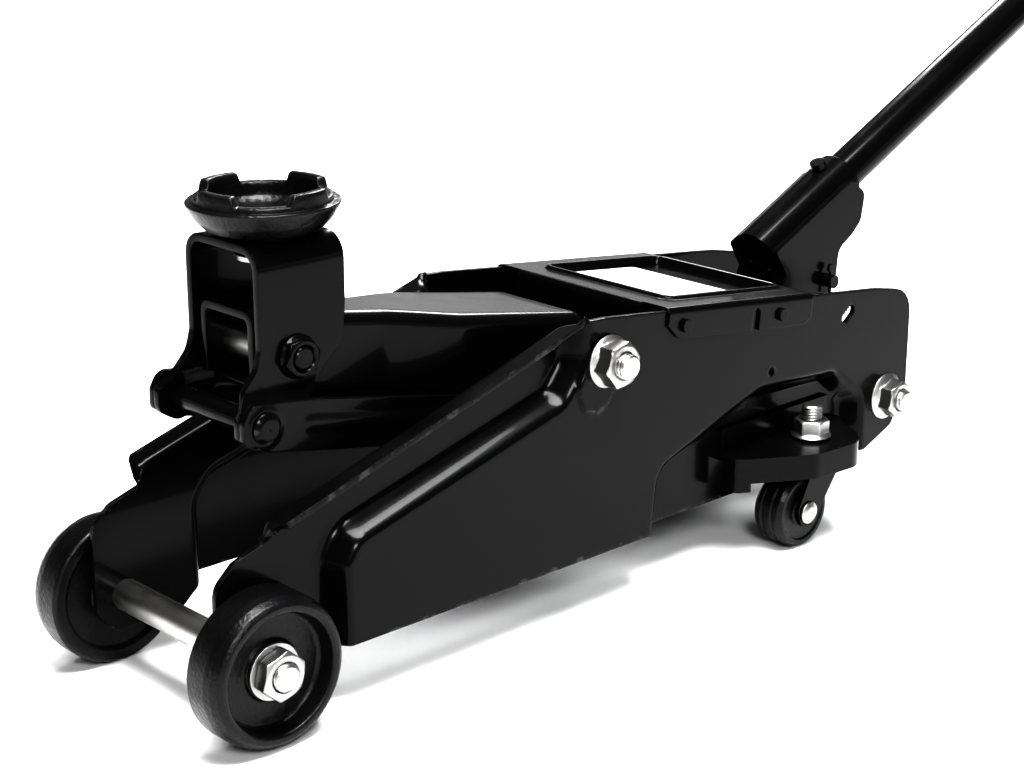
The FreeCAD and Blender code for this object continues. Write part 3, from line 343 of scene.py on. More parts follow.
# ---- mesh tools --------------------------------------------------------------------------------
def fillet(points, radii, steps=6):
    """An open polyline with each inner corner replaced by points on an arc of its radius, which
    touches both edges at radius / tan(half the corner's angle) from the corner."""
    points = np.asarray(points, float)
    radii = np.broadcast_to(np.asarray(radii, float), len(points))
    result = [points[:1]]
    for i in range(1, len(points) - 1):
        into, out = points[i - 1] - points[i], points[i + 1] - points[i]
        a, b = np.linalg.norm(into), np.linalg.norm(out)
        into, out = into / a, out / b
        half = math.acos(float(np.clip(into @ out, -1, 1))) / 2
        reach = min(radii[i] / math.tan(half), 0.49 * a, 0.49 * b) if half < 1.55 else 0.0
        if reach < 1e-4:
            result.append(points[i:i + 1])
            continue
        t = np.linspace(0, 1, steps)[:, None]
        start, end = points[i] + into * reach, points[i] + out * reach
        weight = math.sin(half)
        blend = (1 - t) ** 2 + 2 * t * (1 - t) * weight + t ** 2
        result.append(((1 - t) ** 2 * start + 2 * t * (1 - t) * weight * points[i] + t ** 2 * end)
                      / blend)
    result.append(points[-1:])
    return np.concatenate(result)


def chain(points, radii, at):
    """The height of a filleted polyline at each x in at."""
    line = fillet(points, radii)
    x = np.maximum.accumulate(line[:, 0] + np.arange(len(line)) * 1e-6)
    return np.interp(at, x, line[:, 1])


def spaced(*spans):
    """Sorted numbers over (start, end, step) spans."""
    parts = [np.linspace(a, b, max(2, int(round((b - a) / step)) + 1)) for a, b, step in spans]
    return np.unique(np.round(np.concatenate(parts), 4))


def soft_min(a, b, k):
    """The smaller of a and b, with a parabola of width k where they cross."""
    return np.minimum(a, b) - np.maximum(k - np.abs(a - b), 0) ** 2 / (4 * k)


def soft_max(a, b, k):
    """The larger of two, with a rounded change of about k."""
    return -soft_min(-np.asarray(a), -np.asarray(b), k)


def smooth(t):
    """0 below 0, 1 above 1 and 3t^2 - 2t^3 between."""
    t = np.clip(t, 0, 1)
    return t * t * (3 - 2 * t)


def to_segment(x, z, a, b):
    """Distance from points to the segment a-b."""
    ax, az = a
    bx, bz = b[0] - ax, b[1] - az
    t = np.clip(((x - ax) * bx + (z - az) * bz) / (bx * bx + bz * bz + 1e-12), 0, 1)
    return np.hypot(x - ax - t * bx, z - az - t * bz)


def inside_by(x, z, outline):
    """How far points lie inside a closed outline, negative outside it: the least distance to its
    edges, with the sign of an even-odd crossing count."""
    ends = np.roll(outline, -1, axis=0)
    shape = (-1,) + (1,) * np.ndim(x)
    ax, az, bx, bz = (v.reshape(shape) for v in (*outline.T, *ends.T))
    dx, dz = bx - ax, bz - az
    t = np.clip(((x - ax) * dx + (z - az) * dz) / (dx * dx + dz * dz + 1e-12), 0, 1)
    far = np.hypot(x - ax - t * dx, z - az - t * dz).min(axis=0)
    crosses = ((az > z) != (bz > z)) & (x < ax + (z - az) / np.where(dz == 0, 1e-9, dz) * dx)
    return np.where(crosses.sum(axis=0) % 2 == 1, far, -far)


def bumps(points, height, scale=0.35):
    """An uneven casting skin: a sum of five sine waves in fixed directions."""
    directions = np.array([[1.3, 0.7, -0.4], [-0.5, 1.1, 0.9], [0.8, -1.2, 1.0], [-1.4, -0.6, 0.7],
                           [0.3, 0.9, 1.6]]) * scale
    phase = points @ directions.T + np.arange(5) * 1.7
    return height * np.sin(phase + 1.3 * np.sin(phase[..., ::-1] * 1.9)).sum(axis=-1) / 3


def grid(points, wrap_u=False, wrap_v=False, keep=None):
    """A grid of points as (vertices, quads); wrap closes it, keep drops masked-out cells."""
    n, m = points.shape[:2]
    i = np.arange(n if wrap_u else n - 1)
    j = np.arange(m if wrap_v else m - 1)
    i, j = (a.ravel() for a in np.meshgrid(i, j, indexing="ij"))
    if keep is not None:
        kept = keep[i, j]
        i, j = i[kept], j[kept]
    i2, j2 = (i + 1) % n, (j + 1) % m
    return points.reshape(-1, 3), np.stack([i * m + j, i2 * m + j, i2 * m + j2, i * m + j2], 1)


def around(centre, axis, angle, r, h):
    """Points at radius r and angle round an axis through centre, and h along it."""
    c, s = centre[0] + r * np.cos(angle), centre[1] + r * np.sin(angle)
    return np.stack([c, h, s] if axis == "y" else [c, s, h], -1)


def turned(profile, centre, axis, radius=0.6, steps=64, sign=1.0):
    """A closed (radius, height) profile with rounded corners, turned about an axis: each profile
    point r, h goes to centre + r (cos a, sin a) across the axis and sign h along it."""
    loop = np.asarray(profile, float)
    start = (loop[:1] + loop[-1:]) / 2
    line = fillet(np.concatenate([start, loop, start]), radius, 4)[:-1]
    angle = np.linspace(0, 2 * np.pi, steps, endpoint=False)[:, None]
    r, h = line[:, 0][None], np.broadcast_to(sign * line[:, 1][None], (steps, len(line)))
    return grid(around(centre, axis, angle, r, h), True, True)


def rod(r, low, high, centre, axis, edge=0.6, steps=64, sign=1.0):
    """A plain round bar of radius r between two places on its axis."""
    return turned([(0, low), (r, low), (r, high), (0, high)], centre, axis, edge, steps, sign)


def hexagon_nut(centre, across, bore, y0, y1, flange=0.0, turn=0.0, axis="y", steps=96):
    """A nut between y0 and y1 on an axis: at each angle and height the radius is the hexagon's,
    cut back by a 30 degree cone at its ends, and never less than the flange's cone."""
    sign = math.copysign(1.0, y1 - y0)
    depth = abs(y1 - y0)
    half = across / 2
    h = np.concatenate([[0, 0.3], np.linspace(0.6, 3.2, 5), np.linspace(3.6, depth, 14)])
    angle = np.radians(turn) + np.linspace(0, 2 * np.pi, steps, endpoint=False)[:, None]
    local = (angle - np.radians(turn)) % (np.pi / 3) - np.pi / 6
    hexagon = soft_min(half / np.cos(local), half * 1.135, 0.35)
    top = half * 0.93 + (depth - h)[None] * 1.73
    bottom = half * 0.96 + h[None] * 1.73 if not flange else np.full((1, len(h)), 99.0)
    r = soft_min(soft_min(hexagon, top, 0.3), bottom, 0.3)
    if flange:
        skirt = np.where(h < 0.8, flange, flange - (h - 0.8) * 1.4)[None]
        r = soft_max(r, np.broadcast_to(skirt, r.shape), 0.5)
    rows = [np.full((steps, 1), bore), np.full((steps, 1), bore + 1.0), r,
            np.full((steps, 1), half * 0.80), np.full((steps, 1), bore + 0.8),
            np.full((steps, 1), bore)]
    heights = [[0.0], [0.0], h, [depth], [depth], [depth - 0.8]]
    r = np.concatenate(rows, axis=1)
    h = np.broadcast_to(np.concatenate(heights)[None], r.shape) * sign + y0
    return grid(around(centre, axis, angle, r, h), True, True)


def threaded_end(centre, radius, y0, y1, pitch=2.0, axis="y", steps=48):
    """A bolt end with thread: radius less 0.6 of a triangle wave of (height / pitch - angle),
    tapering into a chamfered, flat tip."""
    sign = math.copysign(1.0, y1 - y0)
    depth = abs(y1 - y0)
    h = np.concatenate([np.arange(0, depth - 1.2, pitch / 8), np.linspace(depth - 1.2, depth, 6)])
    angle = np.linspace(0, 2 * np.pi, steps, endpoint=False)[:, None]
    wave = np.abs(((h[None] / pitch - angle / (2 * np.pi)) % 1.0) * 2 - 1)
    r = radius - 0.6 * wave
    r = np.minimum(r, radius - np.maximum(h[None] - (depth - 1.2), 0) * 1.1)
    zero = np.zeros((steps, 1))
    r = np.concatenate([zero, r, r[:, -1:] * 0.5, zero], axis=1)
    h = np.concatenate([[0.0], h, [depth], [depth]])
    h = np.broadcast_to(h[None], r.shape) * sign + y0
    return grid(around(centre, axis, angle, r, h), True, False)


def both_halves(x, y, z):
    """Rows from the right side up to the middle, carried on down the left side, as points."""
    x, y, z = (np.concatenate([a, b[:, -2::-1]], 1) for a, b in ((x, x), (-y, y), (z, z)))
    return np.stack([x, y, z], -1)


def clear_of(far, r):
    """Cells whose four corners are not all within r."""
    return np.maximum(np.maximum(far[:-1, :-1], far[1:, :-1]),
                      np.maximum(far[:-1, 1:], far[1:, 1:])) > r


def channel(x, foot, top, bend, side, rows, steps):
    """A folded inverted U at each x: its sides rise from foot and stand side(z) out, bend over
    with the radius bend and meet in a flat top."""
    foot, top, bend = foot[:, None], top[:, None], bend[:, None]
    turn = np.linspace(0, np.pi / 2, steps)[1:]
    rise = foot + (top - bend - foot) * np.linspace(0, 1, rows)
    stand = side(rise)
    inner = (stand[:, -1:] - bend) * np.linspace(1, 0, 9)[1:]
    y = np.concatenate([stand, stand[:, -1:] - bend * (1 - np.cos(turn)), inner], 1)
    z = np.concatenate([rise, top - bend * (1 - np.sin(turn)), np.broadcast_to(top, inner.shape)], 1)
    return grid(both_halves(np.broadcast_to(x[:, None], y.shape), y, z))


def joined(parts):
    """Several (vertices, quads) pairs as one."""
    vertices, quads, count = [], [], 0
    for v, q in parts:
        vertices.append(v)
        quads.append(q + count)
        count += len(v)
    return np.concatenate(vertices), np.concatenate(quads)


def solid(name, body, finish, parts, nodes=(), outward=None, thickness=0.0, bevel=0.0,
          sharp=38.0, segments=2):
    """A finished piece. Closed parts have their faces turned outwards. An open sheet has its
    normals turned along outward, and thickness is added behind it."""
    vertices, quads = joined(parts)
    vertices = vertices * MM + np.array([AXLE_X, 0.0, 0.0])
    mesh = bpy.data.meshes.new(name)
    mesh.vertices.add(len(vertices))
    mesh.vertices.foreach_set("co", vertices.astype(np.float32).ravel())
    mesh.loops.add(quads.size)
    mesh.loops.foreach_set("vertex_index", quads.astype(np.int32).ravel())
    mesh.polygons.add(len(quads))
    mesh.polygons.foreach_set("loop_start", np.arange(len(quads), dtype=np.int32) * 4)
    mesh.update(calc_edges=True)
    shape = bmesh.new()
    shape.from_mesh(mesh)
    bmesh.ops.remove_doubles(shape, verts=shape.verts, dist=2e-6)
    loose = [v for v in shape.verts if not v.link_faces]
    bmesh.ops.delete(shape, geom=loose, context="VERTS")
    bmesh.ops.recalc_face_normals(shape, faces=shape.faces)
    shape.to_mesh(mesh)
    shape.free()
    if outward is not None:
        normals = np.empty(len(mesh.polygons) * 3, np.float32)
        areas = np.empty(len(mesh.polygons), np.float32)
        mesh.polygons.foreach_get("normal", normals)
        mesh.polygons.foreach_get("area", areas)
        if ((normals.reshape(-1, 3) @ np.array(outward)) * areas).sum() < 0:
            mesh.flip_normals()
    obj = bpy.data.objects.new(name, mesh)
    bpy.context.collection.objects.link(obj)
    if thickness:
        wall = obj.modifiers.new("wall", "SOLIDIFY")
        wall.thickness, wall.offset, wall.use_even_offset = thickness * MM, -1.0, True
        wall.use_quality_normals = True
    if bevel:
        edge = obj.modifiers.new("edge", "BEVEL")
        edge.width, edge.segments, edge.limit_method = bevel, segments, "ANGLE"
        edge.angle_limit, edge.harden_normals = math.radians(50), False
        edge.use_clamp_overlap = True
    mesh.polygons.foreach_set("use_smooth", np.ones(len(mesh.polygons), bool))
    if thickness or bevel:
        smooth_copy(obj, sharp)
    else:
        mesh.set_sharp_from_angle(angle=math.radians(sharp))
    mesh = obj.data
    mesh.materials.clear()
    mesh.materials.append(FINISHES[finish])
    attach(obj, body)
    if nodes:
        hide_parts(*nodes)
    return obj


def smooth_copy(obj, sharp):
    """The object's modifiers put into its mesh, with edges sharper than an angle left crisp."""
    bpy.context.view_layer.update()
    graph = bpy.context.evaluated_depsgraph_get()
    made = bpy.data.meshes.new_from_object(obj.evaluated_get(graph))
    obj.modifiers.clear()
    obj.data = made
    made.polygons.foreach_set("use_smooth", np.ones(len(made.polygons), bool))
    made.set_sharp_from_angle(angle=math.radians(sharp))


def slab(x, y, z, radius=1.0):
    """A bar between two corners, with rounded edges: a superellipsoid-cornered box as one closed
    grid, whose section is a rounded rectangle and whose ends close over it."""
    (x0, x1), (y0, y1), (z0, z1) = x, y, z
    cy, cz, hy, hz = (y0 + y1) / 2, (z0 + z1) / 2, (y1 - y0) / 2, (z1 - z0) / 2
    corner = np.linspace(0, np.pi / 2, 5)
    ends = np.array([0.0, 0.3, 0.7, 1.0]) * radius
    along = np.concatenate([[x0], x0 + ends, x1 - ends[::-1], [x1]])
    inset = radius - np.sqrt(np.maximum(radius ** 2 - (radius - ends) ** 2, 0))
    inset = np.concatenate([[min(hy, hz)], inset, inset[::-1], [min(hy, hz)]])
    rows = []
    for turn, (sy, sz) in enumerate(((1, 1), (-1, 1), (-1, -1), (1, -1))):
        a = corner + turn * np.pi / 2
        rows.append(np.stack([sy * (hy - radius) + radius * np.cos(a),
                              sz * (hz - radius) + radius * np.sin(a)], -1))
    ring = np.concatenate(rows)
    scale_y = np.maximum(hy - inset, 0) / hy
    scale_z = np.maximum(hz - inset, 0) / hz
    points = np.stack([np.broadcast_to(along[:, None], (len(along), len(ring))),
                       cy + ring[None, :, 0] * scale_y[:, None],
                       cz + ring[None, :, 1] * scale_z[:, None]], -1)
    return grid(points, False, True)


# ---- side plates -------------------------------------------------------------------------------
PLATE_Y, PANEL_Y, FLANGE_Y, PLATE_WALL = 52.5, 65.0, 64.0, 3.0
PANEL = [(50, 5), (50, 72), (57, 83), (192, 119.5), (206, 137), (210, 185), (530, 185), (530, 5),
         (438, 5), (438, 70), (412, 92), (345, 96), (262, 68), (255, 5)]
PANEL_RADII = [0, 9, 12, 16, 22, 0, 0, 0, 0, 12, 16, 22, 14, 0]
PLATE_TOP = [(-17, 54), (-16.95, 76), (-6, 86), (13, 92), (15, 103), (207, 161), (220, 160.5),
             (446.5, 134.6), (479.45, 128), (479.5, 100)]
PLATE_TOP_RADII = [0, 10, 6, 3, 4, 8, 6, 22, 22, 0]
PLATE_FOOT = [(-17, 54), (-16.95, 32), (-8, 20), (32, 20), (45, 31.8), (343, 31.8), (343.05, 62),
              (424.95, 62), (425, 36.5), (442, 36.5), (467, 46.7), (479.45, 69), (479.5, 100)]
PLATE_FOOT_RADII = [0, 6, 10, 8, 8, 3, 14, 14, 3, 3, 6, 6, 0]
PLATE_HOLES = [((353.0, 103.5), (353.0, 103.5), 2.6), ((196.0, 150.0), (196.0, 150.0), 2.0),
               ((417.6, 122.2), (422.4, 125.8), 3.2)]


def pressed_depth(x, z, blend):
    """How far the plate's face stands out from its front web: 12.5 mm over the pressed panel,
    falling in a straight wall over 8 mm outside its outline with parabolic blends, plus the 2 mm
    seat round the lift shaft."""
    outline = fillet(PANEL + PANEL[:1], PANEL_RADII + [0], 7)[:-1]
    inside = np.concatenate([inside_by(x[i:i + 40], z[i:i + 40], outline)
                             for i in range(0, len(x), 40)])
    depth = PANEL_Y - PLATE_Y
    wall = depth * (inside + 8.0) / 8.0
    pressed = soft_max(soft_min(wall, np.full_like(wall, depth), blend), np.zeros_like(wall), blend)
    seat = 13.5 - to_segment(x, z, ARM_PIVOT, (ARM_PIVOT[0] - 7, ARM_PIVOT[1] - 13))
    return pressed + 2.0 * smooth((seat + 0.3) / 1.6)


def side_plate_sheet(side, blend):
    """The plate's outer skin: columns along x run from the foot outline to the top outline, in
    rows that follow the panel's upper edge; extra rows bend outwards along the slope and form
    its flange."""
    x = spaced((-17, -16.9, 0.05), (-16.9, -10, 0.8), (-10, 40, 1.8), (40, 62, 1.0),
               (62, 190, 1.6), (190, 238, 1.1), (238, 250, 1.6), (250, 268, 1.0), (268, 342, 1.5),
               (342.95, 343.1, 0.05), (343.1, 358, 1.0), (358, 410, 1.4), (410, 424.8, 1.0),
               (424.9, 425.1, 0.05), (425.1, 440, 1.0), (440, 470, 1.4), (470, 479.4, 0.7),
               (479.4, 479.5, 0.05))
    top = chain(PLATE_TOP, PLATE_TOP_RADII, x)
    foot = chain(PLATE_FOOT, PLATE_FOOT_RADII, x)
    flanged = smooth((x - 12.5) / 4.0) * (1 - smooth((x - 204) / 6.0))
    web_top = top - 3.15 * flanged
    span = np.clip((web_top - foot) / 60.0, 0, 1)
    edge = np.interp(x, [-17, 50, 57, 192, 206, 240, 479], [60, 80, 83, 119.5, 128, 118, 96])
    edge = np.clip(edge, foot + 13 * span, np.maximum(web_top - 13 * span, foot + 13 * span))
    low, high = edge - 11 * span, np.minimum(edge + 11 * span, web_top)
    a, b, c = np.linspace(0, 1, 44), np.linspace(0, 1, 23)[1:], np.linspace(0, 1, 16)[1:]
    z = np.concatenate([foot[:, None] + (low - foot)[:, None] * a,
                        low[:, None] + (high - low)[:, None] * b,
                        high[:, None] + (web_top - high)[:, None] * c], axis=1)
    x_all = np.broadcast_to(x[:, None], z.shape).copy()
    for start, end, r in PLATE_HOLES:
        near = to_segment(x_all, z, start, end)
        ring = (np.abs(near - r) < 0.85) & (near > 0.2)
        out = np.where(ring, (r - near) / np.maximum(near, 0.3), 0.0)
        t = np.clip(((x_all - start[0]) * (end[0] - start[0]) + (z - start[1]) * (end[1] - start[1]))
                    / ((end[0] - start[0]) ** 2 + (end[1] - start[1]) ** 2 + 1e-9), 0, 1)
        cx, cz = start[0] + t * (end[0] - start[0]), start[1] + t * (end[1] - start[1])
        x_all, z = x_all + (x_all - cx) * out, z + (z - cz) * out
    y = PLATE_Y + pressed_depth(x_all, z, blend)
    keep = np.ones(z.shape, bool)
    for start, end, r in PLATE_HOLES:
        far = to_segment(x_all, z, start, end)
        keep[:-1, :-1] &= clear_of(far, r + 0.02)
    reach = np.maximum(FLANGE_Y - y[:, -1], 0) * flanged
    bend = np.minimum(4.0, reach / 1.05)
    turn = np.linspace(0, np.pi / 2, 7)[1:]
    drop = bend * flanged
    y_bend = y[:, -1:] + bend[:, None] * (1 - np.cos(turn))
    z_bend = web_top[:, None] - drop[:, None] * (1 - np.sin(turn))
    flat = np.linspace(0, 1, 5)[1:]
    y_flat = y_bend[:, -1:] + (reach - bend)[:, None] * flat
    z_flat = np.broadcast_to(z_bend[:, -1:], y_flat.shape)
    lift = np.clip((z - (web_top - 16)[:, None]) / 16, 0, 1)
    z = z - drop[:, None] * lift * (z > edge[:, None] + 4)
    x_extra = np.broadcast_to(x[:, None], (len(x), len(turn) + len(flat)))
    x_all = np.concatenate([x_all, x_extra], 1)
    y = np.concatenate([y, y_bend, y_flat], 1)
    z = np.concatenate([z, z_bend, z_flat], 1)
    keep = np.concatenate([keep, np.ones(x_extra.shape, bool)], 1)
    return grid(np.stack([x_all, side * y, z], -1), keep=keep)


# ---- cover plate -------------------------------------------------------------------------------
COVER_X, COVER_Y, COVER_WALL = (264.0, 386.0), 66.7, 1.5
TRAY_X, TRAY_Y = (286.0, 379.0), 47.0
TOP_FALL = (134.6 - 160.5) / (446.5 - 220.0)
COVER_TOP = 160.5 + TOP_FALL * (COVER_X[0] - 220.0) + 0.1 + COVER_WALL
COVER_SLOTS = [((338.0, -7.5), (338.0, -30.0), 3.0)]


def leaned(points):
    """Points of the level cover turned about its front edge so that it falls to the rear."""
    angle = math.atan(TOP_FALL)
    x, z = points[..., 0] - COVER_X[0], points[..., 2] - (COVER_TOP - COVER_WALL)
    return np.stack([COVER_X[0] + x * math.cos(angle) - z * math.sin(angle), points[..., 1],
                     COVER_TOP - COVER_WALL + x * math.sin(angle) + z * math.cos(angle)], -1)


def tray_height(x, y):
    """Height of the cover's skin over its flat: by the distance s inside a rounded rectangle, a
    1.7 mm bead where s is -2.5 to 1.5 and a floor 4 mm down where s is over 2."""
    half_x, half_y = (TRAY_X[1] - TRAY_X[0]) / 2, TRAY_Y
    r = 6.0
    px = np.abs(x - (TRAY_X[0] + TRAY_X[1]) / 2) - half_x + r
    py = np.abs(y) - half_y + r
    s = -(np.hypot(np.maximum(px, 0), np.maximum(py, 0)) + np.minimum(np.maximum(px, py), 0) - r)
    bead = 1.7 * smooth((s + 3.4) / 1.8)
    return bead - 5.7 * smooth((s - 0.2) / 2.2)


def cover_sheet():
    """The cover's skin: each row across it runs up the left flap, round a bend, over the top with
    its tray and down the right flap to the flap's lower edge."""
    x = spaced((266.5, 268, 0.5), (268, 282, 1.2), (282, 294, 0.8), (294, 332, 1.6),
               (332, 344, 0.8), (344, 372, 1.6), (372, 384, 0.8), (384, 386, 0.5))
    bend, depth = 3.5, chain([(264, -7.5), (276, -17.5), (381, -17.5), (384.5, -14.5), (386, -14.5)],
                             [0, 12, 2, 1, 0], x)
    depth = np.minimum(depth, -bend - 1.0)
    fall = np.linspace(1, 0, 20)
    z_flap = -bend + (depth + bend)[:, None] * fall
    x_flap = np.broadcast_to(x[:, None], z_flap.shape)
    y_flap = np.full(z_flap.shape, COVER_Y)
    turn = np.linspace(0, np.pi / 2, 7)[1:]
    y_bend = np.broadcast_to(COVER_Y - bend * (1 - np.cos(turn)), (len(x), len(turn)))
    z_bend = np.broadcast_to(-bend * (1 - np.sin(turn)), (len(x), len(turn)))
    y_top = spaced((0, 40, 2.6), (40, 52, 0.7), (52, COVER_Y - bend - 0.01, 1.4))[::-1]
    y_top = np.broadcast_to(y_top, (len(x), len(y_top)))
    z_top = tray_height(x[:, None], y_top)
    keep_flap = np.ones(z_flap.shape, bool)
    for start, end, r in COVER_SLOTS:
        far = to_segment(x_flap, z_flap, start, end)
        x_flap = x_flap + np.where((np.abs(far - r) < 0.6) & (z_flap < start[1]),
                                   np.sign(x_flap - start[0]) * (r - far), 0.0)
        far = to_segment(x_flap, z_flap, start, end)
        keep_flap[:-1, :-1] &= clear_of(far, r + 0.05)
    half_y = np.concatenate([y_flap, y_bend, y_top], 1)
    half_z = np.concatenate([z_flap, z_bend, z_top], 1)
    half_x = np.concatenate([x_flap, np.broadcast_to(x[:, None], (len(x), half_y.shape[1]
                                                                   - x_flap.shape[1]))], 1)
    keep = np.concatenate([keep_flap, np.ones((len(x), half_y.shape[1] - keep_flap.shape[1]),
                                              bool)], 1)
    cells = np.concatenate([keep[:, :-1], keep[:, -2::-1], keep[:, :1]], 1)
    return grid(leaned(both_halves(half_x, half_y, half_z + COVER_TOP)), keep=cells)


def cover_front():
    """The cover's front wall: from the flat round a bend and straight down between the plates."""
    y = spaced((-47, 47, 2.5))
    turn = np.linspace(0, np.pi / 2, 6)
    x = np.concatenate([266.5 - 2.5 * np.sin(turn), [264.0, 264.0]])
    z = np.concatenate([-2.5 * (1 - np.cos(turn)), [-12.0, 128.5 - COVER_TOP]])
    points = np.stack(np.broadcast_arrays(x[None], y[:, None], z[None] + COVER_TOP), -1)
    return grid(leaned(points))


# ---- lift arm and saddle bracket ---------------------------------------------------------------
ARM_TOP = [(32, 189.5), (52, 189.5), (88, 179.6), (236, 153.5), (246, 140)]
ARM_FOOT = [(32, 154), (64, 146.5), (180, 126), (202, 118), (206, 98), (210, 84), (230, 84),
            (233, 97), (241, 122), (246, 139.5)]


def arm_sheet():
    """The arm's outer skin: at each x an inverted U whose half width widens from 20.6 to 33 mm,
    whose top follows the upper outline and whose sides reach the lower outline."""
    x = spaced((32, 40, 1.0), (40, 108, 2.5), (108, 156, 1.5), (156, 200, 2.5), (200, 212, 0.6),
               (212, 228, 1.6), (228, 246, 0.8))
    spread = (smooth((x - 108) / 48.0) + np.clip((x - 112) / 40.0, 0, 1)) / 2
    half = 20.6 + 12.4 * spread
    top = chain(ARM_TOP, [0, 24, 40, 10, 0], x)
    foot = chain(ARM_FOOT, [0, 10, 20, 14, 8, 8, 8, 8, 20, 0], x)
    bend = np.clip((top - foot) * 0.4, 0.5, 7.0)
    return channel(x, foot, top, bend, lambda z: np.broadcast_to(half[:, None], z.shape), 18, 8)


YOKE_FOOT = [(12.5, 140), (12.55, 134), (23, 127.5), (35, 131), (39, 146), (53, 146.8),
             (79, 169.5), (80.5, 190)]
YOKE_EAR_TOP = [(12.5, 140), (12.6, 147), (27.5, 163), (30.45, 175)]
YOKE_FOLD = 12.0
YOKE_FLARE = 6.0
YOKE_JOGGLE = (145.0, 156.0)


def yoke_sheets():
    """The saddle bracket's skin: sides 28.5 mm out above z 156 that joggle to 34.5 mm below 145,
    between the lower outline and the fold, and a top that turns over with a 12 mm radius."""
    def stand(z):
        """How far out a side stands at the height z."""
        low, high = YOKE_JOGGLE
        return YOKE_Y + YOKE_FLARE * smooth((high - z) / (high - low))

    bend_z = YOKE_TOP - YOKE_FOLD
    x = spaced((30.5, 39, 0.5), (39, 79, 1.6), (79, 80.5, 0.3))
    foot = chain(YOKE_FOOT, [0, 8, 8, 8, 6, 4, 3, 0], x)
    parts = [channel(x, foot, np.full(len(x), YOKE_TOP), np.full(len(x), YOKE_FOLD), stand, 60, 11)]
    x = spaced((12.5, 12.6, 0.05), (12.6, 16.5, 0.5), (16.5, 30.5, 1.0))
    foot = chain(YOKE_FOOT, [0, 8, 8, 8, 6, 4, 3, 0], x)
    top = chain(YOKE_EAR_TOP, [0, 8, 12, 0], x)
    full = foot[-1] + (bend_z - foot[-1]) * np.linspace(0, 1, 60)
    rows = int(np.searchsorted(full, 172.0)) + 1
    shares = (full[:rows] - foot[-1]) / (full[rows - 1] - foot[-1])
    top = top + (full[rows - 1] - top[-1]) * smooth((x - 26) / 4.5)
    z = foot[:, None] + (top - foot)[:, None] * shares
    for side in SIDES.values():
        parts.append(grid(np.stack([np.broadcast_to(x[:, None], z.shape), side * stand(z), z], -1)))
    return parts


# ---- saddle ------------------------------------------------------------------------------------
LUG_TURN = 8.0
LUG_HALF = 18.5
RING_TOP = 239.1
LUG_RISE = 4.8
DISH_EDGE = 232.7


def saddle_parts(skin):
    """The cast saddle: a turned dish with an outer ledge and a raised ring that swells into four
    lugs. The lug share is a smooth step of the angle from the nearest lug's middle, and the ring's
    top stands at 239.1 + 4.8 * share; the skin is a sum of sine waves."""
    steps = 288
    angle = np.linspace(0, 2 * np.pi, steps, endpoint=False)[:, None]
    off = np.abs((np.degrees(angle) - LUG_TURN + 45.0) % 90.0 - 45.0)
    lug = 1 - smooth((off - LUG_HALF) / 4.5)
    outer = fillet([(0, SEAT_Z), (24, SEAT_Z), (28.5, SEAT_Z + 2.4), (32.5, SEAT_Z + 6.6),
                    (35.3, SEAT_Z + 11.4), (36.8, SEAT_Z + 14.0), (36.2, RIM_Z), (33.7, RIM_Z)],
                   [0, 1.5, 8, 10, 8, 1.2, 0.8, 0], 4)
    inner = fillet([(27.1, 232.4), (23.0, 229.9), (17, FLOOR_Z), (0, FLOOR_Z)], [0, 3, 8, 0], 4)
    rise = np.array([0.04, 0.3, 0.6, 0.82, 0.95, 1.0])
    top = RING_TOP + LUG_RISE * lug
    wall_z = RIM_Z + (top - RIM_Z) * rise
    wall_r = np.broadcast_to([33.25, 33.15, 33.05, 32.9, 32.5, 31.7], wall_z.shape)
    crown_z = DISH_EDGE + (top - DISH_EDGE) * rise[::-1]
    crown_r = np.broadcast_to([28.7, 28.0, 27.7, 27.6, 27.5, 27.3], crown_z.shape)
    outer, inner = (np.broadcast_to(part.T[:, None], (2, steps, len(part)))
                    for part in (outer, inner))
    r = np.concatenate([outer[0], wall_r, crown_r, inner[0]], 1)
    z = np.concatenate([outer[1], wall_z, crown_z, inner[1]], 1)
    points = np.stack([SADDLE_X + r * np.cos(angle), r * np.sin(angle), z], -1)
    points[..., 2] += bumps(points, skin, 1.1) * smooth(r / 12.0)
    stem = rod(9.9, 211.5, 223, (SADDLE_X, 0.0), "z", 0.4)
    return [grid(points, True, False), stem]


# ---- links -------------------------------------------------------------------------------------
def link_sheet(side):
    """A link's outer skin: columns from its lower to its upper outline, with a raised rib along
    its middle and a round pad at each pivot."""
    fx, fz = YOKE_PIN
    rx, rz = LINK_PIVOT
    x = spaced((fx - 12, fx - 11.9, 0.05), (fx - 11.9, fx, 0.7), (fx, fx + 40, 1.6),
               (fx + 40, rx - 12, 2.2), (rx - 12, rx + 11.9, 0.9), (rx + 11.9, rx + 12, 0.05))
    top = chain([(fx - 12, fz - 2), (fx - 11.95, fz + 4), (fx - 7, fz + 12.5), (fx + 30, fz + 7.5),
                 (rx - 10, rz + 10.5), (rx + 11.9, rz + 8), (rx + 12, rz)],
                [0, 5, 8, 20, 8, 8, 0], x)
    foot = chain([(fx - 12, fz - 2), (fx - 11.95, fz - 6), (fx + 2, fz - 12.5), (fx + 40, fz - 20),
                  (rx - 40, rz - 7), (rx + 4, rz - 11.5), (rx + 11.9, rz - 5), (rx + 12, rz)],
                 [0, 5, 8, 30, 30, 8, 8, 0], x)
    z = foot[:, None] + (top - foot)[:, None] * np.linspace(0, 1, 22)
    x_all = np.broadcast_to(x[:, None], z.shape)
    rib = 5.0 - to_segment(x_all, z, (fx + 26, fz - 3.5), (rx - 26, rz + 3.0))
    ear = np.maximum(11.0 - to_segment(x_all, z, YOKE_PIN, YOKE_PIN),
                     10.0 - to_segment(x_all, z, LINK_PIVOT, LINK_PIVOT))
    y = 38.3 + 1.0 * smooth(rib / 4.0) + 0.7 * smooth(ear / 2.5)
    return grid(np.stack([x_all, side * y, z], -1))


